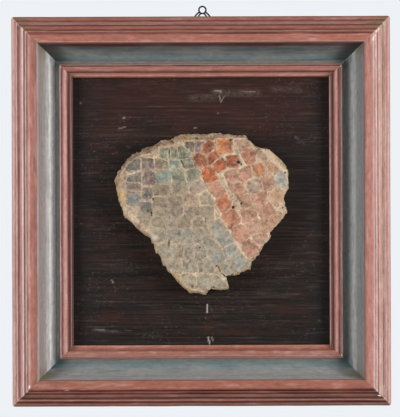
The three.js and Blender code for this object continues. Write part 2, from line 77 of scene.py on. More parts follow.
# The moulding from its outer edge to its sight edge and round the back: each stroke ends at a
# distance in from the outer edge and a height above the frame's back
MOULDING = (
    ("round", 3.0, 36.0),
    ("line", 4.0, 36.0),
    ("line", 4.3, 34.8),
    ("line", 4.6, 35.0),
    ("bead", 8.0, 38.0),
    ("line", 8.7, 34.5),
    ("line", 9.4, 37.5),
    ("round", 13.8, 42.5),
    ("line", 14.3, 41.3),
    ("line", 14.8, 42.5),
    ("bead", 17.6, 44.5),
    ("line", 18.1, 42.5),
    ("line", 18.6, 46.0),
    ("line", 28.3, 46.0),
    ("line", 28.3, 45.0),
    ("round", 43.0, 20.0),
    ("runout", 50.0, 24.5),
    ("line", 50.0, 26.0),
    ("line", 51.2, 26.0),
    ("line", 52.1, 24.5),
    ("line", 53.0, 24.5),
    ("bead", 58.4, 28.5),
    ("line", 58.4, 23.0),
    ("cove", 61.5, 19.5),
    ("line", 63.0, 19.5),
)
MOULDING_START = (0.0, 33.0)
REBATE = ((63.0, 15.0), (55.0, 15.0), (55.0, 0.0), (0.0, 0.0))

# How far each length of moulding stays back from its mitre
MITRE_GAP = 0.05

# Heights of the fragment's solid above the frame's back: its own back, the foot and the middle of
# its broken edge, and its face. The share is how far in from foot to rim that middle has come
SLAB_BACK = 15.0
SLAB_FOOT = 17.76
SLAB_MIDDLE = 27.65
SLAB_FACE = 38.0
MIDDLE_SHARE = 0.4

# How far apart points lie along the moulding's profile and on the board, and steps round a bead
MOULDING_STEP = 0.7
BOARD_STEP = 1.2
BEAD_STEPS = 10

# The recess for the hanger in the back of the top rail: half its width at the mouth and the foot,
# the heights where it starts, widens and ends, and how deep it is
RECESS_MOUTH = 11.4
RECESS_FOOT = 19.8
RECESS_LEVELS = (-10.0, -20.4, -30.8)
RECESS_DEPTH = 4.3

# The hanger's wire: its thickness, its eye and its two foot rings
WIRE_RADIUS = 0.85
EYE_RADIUS = 3.8
EYE_HEIGHT = 0.9
FOOT_RADIUS = 2.8
FOOT_HEIGHT = 3.3
FOOT_SPREAD = 14.6
FOOT_DROP = 25.6

# Each of its legs is two strands. They leave the eye so many degrees aside from straight down, more
# or less by a spread, and end so many degrees to each side of the foot ring's top. Between, each
# lies so far off the leg's middle
LEG_ROOT = 40
LEG_ROOT_SPREAD = 18
LEG_TIP = 42
LEG_ASIDE = 1.8

# Stops of a leg between its ends, as shares of its spread, its rise and its drop
LEG_STOPS = ((0.39, 0.1, 0.25), (0.7, 0.55, 0.57))

# The screws: depth of the dome and of the whole head, its bevel, the point's length, and the shank's
# share of the head's width; then the slot's half width, its depth, and its turn in radians
SCREW_DOME = 1.1
SCREW_HEAD = 1.8
SCREW_EDGE = 0.3
SCREW_POINT = 4.0
SHANK_SHARE = 0.486
SLOT_HALF = 0.45
SLOT_DEPTH = 0.8
SLOT_TURN = 0.6

# The farthest that a stone reaches from its middle, and how far apart points lie round its outline
STONE_REACH = 16
STONE_STEP = 0.8

# How far the sides of a loose and of a veiled stone go down, and how many times its rounding the
# worn edge of a stone goes in
LOOSE_SIDE = 7.3
VEILED_SIDE = 2.8
WORN_EDGE = 1.7

# How strongly mortar films the face of a stone: of most of them, a fired one and a veiled one
STONE_FILM = 0.1
FIRED_FILM = 0.02
VEILED_FILM = 0.34

# In metres: the middle of the panel, where the camera looks, and half the width of the floor
PANEL_MIDDLE = (0, 0, -0.217)
VIEW_MIDDLE = (-0.0033, -0.2141)
FLOOR_REACH = 6.0

# Width of the camera's sensor in millimetres
SENSOR = 36

# Lights: name, place and size in metres, the setting for its strength, its share of that, and tint
LIGHTS = (
    ("light_left", (-1.45, -1.05, -0.1), (0.5, 1.3), "side_light", 0.9, (1, 0.985, 0.965)),
    ("light_right", (1.45, -1.05, -0.1), (0.5, 1.3), "side_light", 1.1, (1, 0.985, 0.965)),
    ("light_top", (0, -1.0, 1.4), (1.6, 0.9), "top_light", 1, (0.96, 0.98, 1)),
)


# Settings


def linear(*screen):
    """The scene colour of a screen colour given as 0 to 255."""
    return tuple(((c / 255 + 0.055) / 1.055) ** 2.4 for c in screen)


def colour(name, description, *screen):
    """A colour setting, its default given as 0 to 255."""
    return FloatVectorProperty(
        name=name, description=description, subtype="COLOR", size=3, min=0, max=1, default=linear(*screen)
    )


def length(name, description, millimetres):
    """A length setting, its default given in millimetres."""
    return FloatProperty(
        name=name, description=description, unit="LENGTH", min=0, precision=5, default=millimetres * MM
    )


class FrameSettings(bpy.types.PropertyGroup):
    """Shape and paint of the moulded frame"""

    wobble: length("Wobble", "How far the hand-planed moulding strays from true", 0.22)
    dents: length("Dents", "Deepest knocks in the rims and beads", 0.9)
    corner: length("Corner", "Rounding of the four outer corners", 3.0)
    pink: colour("Pink", "Earth pink paint on the beads and the flat", 158, 99, 86)
    # Also laid in stripes on the stiles, where it paints them paler as highlight from the side lights
    rubbed: colour("Rubbed pink", "Pink where it is rubbed thin and chalky", 202, 158, 150)
    rust: colour("Rust", "Red-brown ground that shows through the pink", 134, 80, 64)
    soot: colour("Soot", "Grey-brown grime on the outer beads", 108, 84, 74)
    drab: colour("Drab", "Greenish grey worn into the second bead", 142, 124, 106)
    # Painted highlight: palest pink laid on the stiles' beads where the side lights fall, and over their
    # shaded grooves
    lilac_highlight: colour("Lilac", "Palest pink, where the stiles are rubbed most", 214, 184, 184)
    # Partly worn ground, partly painted highlight: pale lines on the arrises, and lightening over shaded
    # parts of the hollow
    bone: colour("Bone", "Pale ground along the sharpest arrises", 196, 172, 158)
    # Painted highlight: pale grey laid in the stiles' hollows where the side lights fall, and over their
    # shaded parts
    pale: colour("Pale grey", "Grey paint rubbed pale in the stiles' hollows", 206, 206, 206)
    grey: colour("Grey", "Warm grey paint in the wide hollow", 142, 138, 135)
    blue: colour("Blue", "Blue-grey streaks in the wide hollow", 92, 114, 118)
    # Also painted shade: laid dark in the top rail's hollow, where it faces down, and at the edges of the
    # stiles' hollows
    slate: colour("Slate", "Dark grey where the hollow meets the inner bead", 66, 66, 67)
    # Dirt in the grooves, and also painted shade: laid dark at the outer edge of the top rail's hollow,
    # where it faces down
    dirt_and_shade: colour("Dirt", "Dark red-brown settled in the grooves", 80, 34, 27)
    # White ground in the chips; also laid in stripes on the stiles and their hollows as painted highlight
    gesso_and_highlight: colour("Gesso", "White ground in the chips", 238, 226, 208)
    teal: colour("Teal", "Green-blue paint left in the corners of the hollow", 44, 84, 84)
    olive: colour("Olive", "Olive grime next to the mitres", 112, 98, 66)
    # Grime in the corners; also painted shade, laid dark in the top rail's hollow near the mitres where it
    # faces down
    soil: colour("Soil", "Black-brown grime in the corners", 40, 34, 32)
    umber: colour("Umber", "Brown streaks in the bare wood", 96, 82, 74)
    timber: colour("Timber", "Bare wood at the back", 150, 122, 92)


class BoardSettings(bpy.types.PropertyGroup):
    """Grain and stain of the board behind the mosaic"""

    ridges: length("Ridges", "Height of the raised softwood grain", 0.35)
    stain: colour("Stain", "Dark stain of the board", 34, 26, 23)
    streak: colour("Streak", "Blackest lines of the grain", 20, 15, 14)
    # Paler lines of the grain: partly its own colour, partly painted highlight on the raised grain
    ridge_and_highlight: colour("Ridge", "Paler raised lines of the grain", 60, 49, 45)
    warm: colour("Warm", "Reddish stain between the lines", 58, 31, 26)
    # Bluish stain in patches; also painted shade along the left and right sides, where the frame shades the
    # board
    cool: colour("Cool", "Bluish stain along the sides", 28, 27, 28)
    scuff: colour("Scuff", "Dusty scuffs on the stain", 112, 102, 96)
    scratch: colour("Scratch", "Pale wood in the scratches", 176, 164, 158)


class MortarSettings(bpy.types.PropertyGroup):
    """Surface and colours of the mortar bed"""

    spacing: length("Point spacing", "Distance between the points of the mortar's mesh", 0.62)
    sunk: length("Sunk joints", "How far the joints lie below the stones", 0.2)
    rough: length("Roughness", "Unevenness of the face", 0.45)
    crumble: length("Crumble", "Unevenness of the broken edge", 2.3)
    tan: colour("Tan", "Body of the lime mortar", 171, 152, 130)
    # Also laid along the broken edge's lip and foot, partly as painted highlight
    cream: colour("Cream", "Fresh joints between the stones", 218, 194, 166)
    ochre: colour("Ochre", "Yellow stains on the broken edge", 200, 166, 110)
    # Also laid in one stroke as painted shade at the inner edge of the rim
    earth: colour("Earth", "Brown soil on the mortar", 126, 104, 80)
    rust: colour("Rust", "Orange stains on the broken edge", 196, 138, 92)
    chalk: colour("Chalk", "Pale blue-grey lime bloom", 158, 158, 146)
    dark: colour("Dark", "Bottom of pits and cracks", 44, 34, 28)


class StoneSettings(bpy.types.PropertyGroup):
    """Wear and colours of the tesserae"""

    rounding: length("Rounding", "Worn rounding of the stones' edges", 0.45)
    uneven: length("Unevenness", "Unevenness of the worn faces", 0.4)
    spread: length("Spread", "How far the worn faces spread over the joints", 0.85)
    green: colour("Green", "Grey-green stone", 108, 117, 102)
    mist: colour("Mist", "Pale blue-green stone", 134, 145, 132)
    slate: colour("Slate", "Dark grey stone", 98, 98, 94)
    ash: colour("Ash", "Blue-grey stone", 116, 119, 115)
    chalk: colour("Chalk", "Grey-white stone", 152, 150, 143)
    plum: colour("Plum", "Purple-brown stone", 116, 99, 96)
    wine: colour("Wine", "Dark red stone", 84, 60, 58)
    umber: colour("Umber", "Brown-green stone", 118, 108, 88)
    brick: colour("Brick", "Dull red fired clay", 132, 72, 48)
    coral: colour("Coral", "Orange-red fired clay", 174, 94, 60)
    orange: colour("Orange", "Light orange fired clay", 180, 112, 72)
    rose: colour("Rose", "Dusty pink stone", 163, 116, 95)
    blush: colour("Blush", "Bright pink stone", 188, 136, 114)
    dun: colour("Dun", "Pale brown-pink stone", 164, 138, 118)
    tan: colour("Tan", "Light tan stone", 164, 131, 104)
    drab: colour("Drab", "Grey-brown stone under mortar", 130, 121, 103)
    sand: colour("Sand", "Pale sandy stone under mortar", 142, 134, 117)
    mauve: colour("Mauve", "Grey-purple stone under mortar", 128, 115, 105)
    seam: colour("Seam", "Pale blue-grey stone of the seam", 139, 145, 140)


class HangerSettings(bpy.types.PropertyGroup):
    """Colours of the wire and its screws"""

    iron: colour("Iron", "Blackened iron", 26, 19, 15)
    worn: colour("Worn iron", "Iron where the black is rubbed", 66, 58, 48)


class StageSettings(bpy.types.PropertyGroup):
    """Room, floor, lights and camera"""

    air: colour("Air", "Colour of the room behind the panel", 238, 241, 245)
    floor: colour("Floor", "Plain pale floor", 214, 212, 208)
    floor_drop: FloatProperty(
        name="Floor drop", description="How far the floor lies below the eye", unit="LENGTH", default=1.3
    )
    distance: FloatProperty(
        name="Camera distance", description="From the back to the camera", unit="LENGTH", default=1.635
    )
    roll: FloatProperty(name="Roll", description="Tilt of the camera to one side, in degrees", default=0.2)
    lens: FloatProperty(name="Lens", description="Focal length in millimetres", min=1, default=130.8)
    side_light: FloatProperty(name="Side light", description="Watts of each side light", min=0, default=27)
    top_light: FloatProperty(name="Top light", description="Watts of the light above", min=0, default=5)
    room_light: FloatProperty(name="Room light", description="Strength of the light all round", default=0.2)


class PanelSettings(bpy.types.PropertyGroup):
    """All the settings of the mosaic panel"""

    frame: PointerProperty(type=FrameSettings, name="Frame", description="Moulded frame")
    board: PointerProperty(type=BoardSettings, name="Board", description="Backboard")
    mortar: PointerProperty(type=MortarSettings, name="Mortar", description="Mortar bed")
    stones: PointerProperty(type=StoneSettings, name="Stones", description="Tesserae")
    hanger: PointerProperty(type=HangerSettings, name="Hanger", description="Wire and screws")
    stage: PointerProperty(type=StageSettings, name="Stage", description="Floor, lights and camera")


# Mesh helpers


def rough(x, z, size, seed=0):
    """Smooth repeatable unevenness between -1 and 1, with bumps of about that size."""
    u, v = np.asarray(x) / size + seed * 3.7, np.asarray(z) / size - seed * 1.9
    i, j = np.floor(u), np.floor(v)
    f, g = u - i, v - j
    f, g = f * f * (3 - 2 * f), g * g * (3 - 2 * g)

    def corner(a, b):
        wave = np.sin((i + a) * 127.1 + (j + b) * 311.7 + seed * 74.7) * 43758.5453
        return (wave - np.floor(wave)) * 2 - 1

    low = corner(0, 0) * (1 - f) + corner(1, 0) * f
    high = corner(0, 1) * (1 - f) + corner(1, 1) * f
    return low * (1 - g) + high * g


def layered(x, z, size, seed=0, layers=3):
    """Unevenness of several sizes, each half as large and half as strong as the last."""
    total = sum(rough(x, z, size / 2**k, seed + k) / 2**k for k in range(layers))
    return total / sum(1 / 2**k for k in range(layers))


def smooth(value, low, high):
    """0 below low, 1 above high and a smooth rise between."""
    t = np.clip((np.asarray(value) - low) / (high - low), 0, 1)
    return t * t * (3 - 2 * t)


def toward(colours, target, amount):
    """Moves an array of colours towards another colour by an amount for each."""
    amount = np.clip(np.asarray(amount), 0, 1)[..., None]
    return colours * (1 - amount) + np.asarray(tuple(target)) * amount


def between(value, start, end, before, after):
    """1 from start to end, its rise and its fall reaching so far before and after those two."""
    return smooth(value, start - before, start + after) * (1 - smooth(value, end - after, end + before))


def near_line(x, z, start, end, width, core=0.25):
    """1 along the middle of a stroke from start to end, falling to 0 at half its width."""
    (ax, az), (bx, bz) = start, end
    run = max((bx - ax) ** 2 + (bz - az) ** 2, 1e-9)
    t = np.clip(((x - ax) * (bx - ax) + (z - az) * (bz - az)) / run, 0, 1)
    distance = np.hypot(x - ax - t * (bx - ax), z - az - t * (bz - az))
    return 1 - smooth(distance, core * width, 0.5 * width)


def make_mesh(name, points, faces, materials, indices=None, sharp=40):
    """An object from points in millimetres as (x, height, z), shaded smooth but for its arrises."""
    mesh = bpy.data.meshes.new(name)
    mesh.from_pydata([(x * MM, -h * MM, z * MM) for x, h, z in points], [], faces)
    for material in materials:
        mesh.materials.append(material)
    if indices is not None:
        mesh.polygons.foreach_set("material_index", np.asarray(indices, np.int32))
    solid = bmesh.new()
    solid.from_mesh(mesh)
    bmesh.ops.recalc_face_normals(solid, faces=solid.faces)
    solid.to_mesh(mesh)
    solid.free()
    mesh.polygons.foreach_set("use_smooth", [True] * len(mesh.polygons))
    mesh.set_sharp_from_angle(angle=math.radians(sharp))
    piece = bpy.data.objects.new(name, mesh)
    bpy.context.scene.collection.objects.link(piece)
    return piece


def stand_for(piece, node):
    """The piece rides on the panel in place of a solid, which is hidden."""
    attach(piece, BODY)
    if node:
        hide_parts(node)
    return piece


def cut(piece, cutter):
    """Takes a closed object out of a piece, and then deletes it."""
    boolean = piece.modifiers.new("cut", "BOOLEAN")
    boolean.operation = "DIFFERENCE"
    boolean.solver = "EXACT"
    boolean.object = cutter
    graph = bpy.context.evaluated_depsgraph_get()
    whole, made = piece.data, bpy.data.meshes.new_from_object(piece.evaluated_get(graph))
    piece.modifiers.clear()
    piece.data = made
    bpy.data.meshes.remove(whole)
    bpy.data.objects.remove(cutter)


def paint_points(piece, **stored):
    """Stores numbers or colours on the points of a mesh, for its material to read."""
    for name, values in stored.items():
        values = np.asarray(values, np.float32)
        if values.ndim == 1:
            piece.data.attributes.new(name, "FLOAT", "POINT").data.foreach_set("value", values)
        else:
            full = np.ones((len(values), 4), np.float32)
            full[:, :3] = values
            piece.data.attributes.new(name, "FLOAT_COLOR", "POINT").data.foreach_set("color", full.ravel())


def node_points(name):
    """A solid's points in millimetres as an array of (x, height, z)."""
    mesh = frame["nodes"][name].data
    flat = np.empty(len(mesh.vertices) * 3)
    mesh.vertices.foreach_get("co", flat)
    x, y, z = flat.reshape(-1, 3).T / MM
    return np.stack([x, -y, z], 1)


def rings_to_faces(rows, columns, first=0, closed=True):
    """Quads between rows of points, each row closed on itself unless said otherwise."""
    faces = []
    for row in range(rows - 1):
        here, there = first + row * columns, first + (row + 1) * columns
        for i in range(columns if closed else columns - 1):
            j = (i + 1) % columns
            faces.append((here + i, here + j, there + j, there + i))
    return faces


def resampled(outline, step):
    """A closed outline with points spaced evenly along it."""
    closed = np.vstack([outline, outline[:1]])
    runs = np.hypot(*np.diff(closed, axis=0).T)
    along = np.concatenate([[0], np.cumsum(runs)])
    places = np.linspace(0, along[-1], max(8, round(along[-1] / step)), endpoint=False)
    return np.stack([np.interp(places, along, closed[:, k]) for k in (0, 1)], 1)


def rounded(outline, share, times):
    """A closed outline with a share of each side cut off at its corners, again and again."""
    for _ in range(times):
        after = np.roll(outline, -1, 0)
        cuts = [outline * (1 - share) + after * share, outline * share + after * (1 - share)]
        outline = np.stack(cuts, 1)
        outline = outline.reshape(-1, 2)
    return outline


def outside(outline, x, z):
    """Distance outside a convex outline that runs anticlockwise, negative inside it."""
    x, z = np.asarray(x), np.asarray(z)
    reach = np.full(x.shape, -1e9)
    for (ax, az), (bx, bz) in zip(outline, np.roll(outline, -1, 0)):
        run = math.hypot(bx - ax, bz - az)
        if run > 1e-6:
            reach = np.maximum(reach, ((bz - az) * (x - ax) - (bx - ax) * (z - az)) / run)
    return reach


def hull(points):
    """Corners of the convex outline round points [x, z], anticlockwise."""
    flat = [Vector(p) for p in points]
    corners = [points[i] for i in geometry.convex_hull_2d(flat)]
    outline = np.array(corners)
    area = np.cross(outline, np.roll(outline, -1, 0)).sum()
    return outline if area > 0 else outline[::-1]


# Material helpers


class Shader:
    """A material that is put together from nodes. Its methods return the socket they make."""

    def __init__(self, name, roughness, bounce=0.5):
        self.material = bpy.data.materials.new(name)
        self.material.use_nodes = True
        self.tree = self.material.node_tree
        self.surface = self.tree.nodes["Principled BSDF"]
        self.surface.inputs["Roughness"].default_value = roughness
        self.surface.inputs["Specular IOR Level"].default_value = bounce

    def feed(self, socket, value):
        """Links a socket to another one, or sets it to a number or a colour."""
        if isinstance(value, bpy.types.NodeSocket):
            self.tree.links.new(value, socket)
        elif isinstance(value, (int, float)):
            socket.default_value = value
        else:
            socket.default_value = (*value, 1) if len(socket.default_value) == 4 else tuple(value)

    def place(self, space="Object", scale=(1, 1, 1)):
        """Places on the piece in metres, squeezed along each axis by a scale."""
        where = self.tree.nodes.new("ShaderNodeTexCoord")
        mapping = self.tree.nodes.new("ShaderNodeMapping")
        mapping.inputs["Scale"].default_value = scale
        self.feed(mapping.inputs["Vector"], where.outputs[space])
        return mapping.outputs["Vector"]

    def cloud(self, place, millimetres, detail=4, roughness=0.55):
        """Cloudy variation from 0 to 1 with features of about that size."""
        noise = self.tree.nodes.new("ShaderNodeTexNoise")
        noise.inputs["Scale"].default_value = 1 / (millimetres * MM)
        noise.inputs["Detail"].default_value = detail
        noise.inputs["Roughness"].default_value = roughness
        self.feed(noise.inputs["Vector"], place)
        return noise.outputs["Fac"]

    def span(self, value, low, high, bottom=0.0, top=1.0):
        """A value between two limits, brought to a range from bottom to top."""
        spread = self.tree.nodes.new("ShaderNodeMapRange")
        spread.interpolation_type = "SMOOTHSTEP"
        for socket, number in zip(spread.inputs[:5], (value, low, high, bottom, top)):
            self.feed(socket, number)
        return spread.outputs["Result"]

    def combine(self, operation, first, second):
        """Two values added, multiplied or the like."""
        maths = self.tree.nodes.new("ShaderNodeMath")
        maths.operation = operation
        self.feed(maths.inputs[0], first)
        self.feed(maths.inputs[1], second)
        return maths.outputs["Value"]

    def over(self, amount, below, above, mode="MIX"):
        """One colour laid over another by an amount."""
        mix = self.tree.nodes.new("ShaderNodeMix")
        mix.data_type = "RGBA"
        mix.blend_type = mode
        self.feed(mix.inputs["Factor"], amount)
        colours = [socket for socket in mix.inputs if socket.type == "RGBA"]
        self.feed(colours[0], below)
        self.feed(colours[1], above)
        return next(socket for socket in mix.outputs if socket.type == "RGBA")

    def painted(self, name, kind="Fac"):
        """What paint_points stored under that name."""
        stored = self.tree.nodes.new("ShaderNodeAttribute")
        stored.attribute_name = name
        return stored.outputs[kind]

    def finish(self, base, height=None, depth=0.0, roughness=None):
        """Joins the colour, the relief in millimetres and the roughness to the surface."""
        self.feed(self.surface.inputs["Base Color"], base)
        if height is not None:
            relief = self.tree.nodes.new("ShaderNodeBump")
            relief.inputs["Distance"].default_value = depth * MM
            self.feed(relief.inputs["Height"], height)
            self.feed(self.surface.inputs["Normal"], relief.outputs["Normal"])
        if roughness is not None:
            self.feed(self.surface.inputs["Roughness"], roughness)
        return self.material


def rubbed_paint(look):
    """Old paint. Its colour is stored on its points, and fine streaks and grit are added."""
    shader = Shader("rubbed_paint", 0.45, 0.4)
    streaks = shader.cloud(shader.place("UV", (0.05, 1, 1)), 2.4, 4, 0.6)
    mottle = shader.cloud(shader.place("UV", (0.4, 1, 1)), 3.2, 4, 0.65)
    paint = shader.painted("tone", "Color")
    paint = shader.over(shader.span(streaks, 0.5, 0.72, 0, 0.28), paint, look.dirt_and_shade, "MULTIPLY")
    paint = shader.over(shader.span(mottle, 0.5, 0.7, 0, 0.2), paint, look.slate, "MULTIPLY")
    paint = shader.over(shader.span(mottle, 0.5, 0.32, 0, 0.6), paint, (1.3, 1.27, 1.25), "MULTIPLY")
    paint = shader.over(shader.painted("chip"), paint, look.gesso_and_highlight)
    height = shader.combine("ADD", streaks, shader.combine("MULTIPLY", mottle, 0.6))
    return shader.finish(paint, height, 0.2, shader.span(streaks, 0.3, 0.7, 0.44, 0.58))


def bare_timber(look):
    """Unpainted wood with its grain along the moulding."""
    shader = Shader("bare_timber", 0.8, 0.25)
    fibres = shader.cloud(shader.place("UV", (0.04, 1, 1)), 1.2, 6, 0.6)
    broad = shader.cloud(shader.place("UV", (0.1, 1, 1)), 9, 3)
    wood = shader.over(shader.span(fibres, 0.35, 0.7), look.timber, look.rust)
    wood = shader.over(shader.span(broad, 0.45, 0.75, 0, 0.5), wood, look.umber)
    return shader.finish(wood, fibres, 0.3)


def stained_board(look):
    """Dark stain over raised softwood grain that runs across the panel."""
    shader = Shader("stained_board", 0.7, 0.15)
    lines = shader.cloud(shader.place(scale=(0.012, 1, 1)), 1.9, 3, 0.6)
    fibres = shader.cloud(shader.place(scale=(0.06, 1, 1)), 2.0, 4, 0.7)
    clouds = shader.cloud(shader.place(scale=(0.45, 1, 1)), 18, 6, 0.7)
    dust = shader.cloud(shader.place(scale=(0.7, 1, 1)), 2.2, 5, 0.75)
    haze = shader.cloud(shader.place(scale=(0.6, 1, 1)), 45, 3)
    wood = shader.over(shader.span(lines, 0.34, 0.52, 0, 1), look.streak, look.stain)
    wood = shader.over(shader.span(lines, 0.52, 0.68, 0, 0.5), wood, look.ridge_and_highlight)
    wood = shader.over(shader.span(clouds, 0.5, 0.66, 0, 0.6), wood, look.warm)
    wood = shader.over(shader.painted("warm"), wood, look.warm)
    wood = shader.over(shader.span(clouds, 0.48, 0.34, 0, 0.6), wood, look.cool)
    # Painted shade: darker along the board's left and right sides, where the frame shades it
    wood = shader.over(shader.painted("cool"), wood, look.cool)
    wood = shader.over(shader.span(fibres, 0.52, 0.72, 0, 0.16), wood, look.scuff)
    wood = shader.over(shader.span(fibres, 0.48, 0.3, 0, 0.4), wood, look.streak)
    dusty = shader.combine("MULTIPLY", shader.span(dust, 0.56, 0.74, 0, 0.6), shader.span(haze, 0.38, 0.62))
    wood = shader.over(dusty, wood, look.scuff)
    scuffed = shader.combine("MULTIPLY", shader.painted("scuff"), shader.span(dust, 0.35, 0.65))
    wood = shader.over(scuffed, wood, look.scuff)
    wood = shader.over(shader.painted("scratch"), wood, look.scratch)
    return shader.finish(wood, lines, 0.4, shader.span(lines, 0.3, 0.7, 0.6, 0.8))


def weathered(name, grain, strength, depth, roughness, dark, pale):
    """Stone, fired clay or mortar. Its colour is stored on its points, and its grain is added."""
    shader = Shader(name, roughness, 0.3)
    tone = shader.painted("tone", "Color")
    where = shader.place()
    clouds = shader.cloud(where, grain * 2.6, 4, 0.65)
    grit = shader.cloud(where, grain, 4, 0.75)
    tone = shader.over(shader.span(clouds, 0.5, 0.68, 0, 0.5 * strength), tone, dark, "MULTIPLY")
    tone = shader.over(shader.span(clouds, 0.5, 0.34, 0, 0.3 * strength), tone, pale)
    tone = shader.over(shader.span(grit, 0.54, 0.68, 0, 0.5 * strength), tone, pale)
    tone = shader.over(shader.span(grit, 0.46, 0.32, 0, 0.65 * strength), tone, dark, "MULTIPLY")
    height = shader.combine("ADD", shader.combine("MULTIPLY", clouds, 1.5), grit)
    return shader.finish(tone, height, depth, shader.span(grit, 0.3, 0.7, roughness - 0.1, 1.0))


def black_iron(look):
    """Blackened iron, rubbed to grey in places."""
    shader = Shader("black_iron", 0.6, 0.15)
    where = shader.place()
    rubbed = shader.cloud(where, 2.5, 4)
    grit = shader.cloud(where, 0.4, 3)
    iron = shader.over(shader.span(rubbed, 0.55, 0.75, 0, 0.4), look.iron, look.worn)
    return shader.finish(iron, grit, 0.08, shader.span(grit, 0.3, 0.7, 0.55, 0.8))


# Frame


def along_stroke(stroke, share):
    """How far a stroke of the moulding has gone across and up, at a share of its length."""
    quarter = share * math.pi / 2
    return {
        "line": (share, share),
        "round": (1 - math.cos(quarter), math.sin(quarter)),
        "bead": ((1 - math.cos(2 * quarter)) / 2, math.sin(2 * quarter)),
        "runout": (share, share * share),
        "cove": (share, math.sin(quarter)),
    }[stroke]


def moulding_profile():
    """The moulding's front in fine steps, as an array of (distance in, height)."""
    points = [MOULDING_START]
    for stroke, reach, height in MOULDING:
        start, base = points[-1]
        span = math.hypot(reach - start, height - base)
        steps = BEAD_STEPS if stroke == "bead" else max(1, round(span / MOULDING_STEP))
        for step in range(1, steps + 1):
            across, rise = along_stroke(stroke, step / steps)
            points.append((start + (reach - start) * across, base + (height - base) * rise))
    return np.array(points)


def lengthways(half, fine=14.0, step=3.2, small=0.8):
    """Stops along half a rail from its middle, closer together near the mitre."""
    coarse = np.linspace(0, half - fine, round((half - fine) / step))
    return np.concatenate([coarse, np.linspace(half - fine, half, round(fine / small) + 1)[1:]])
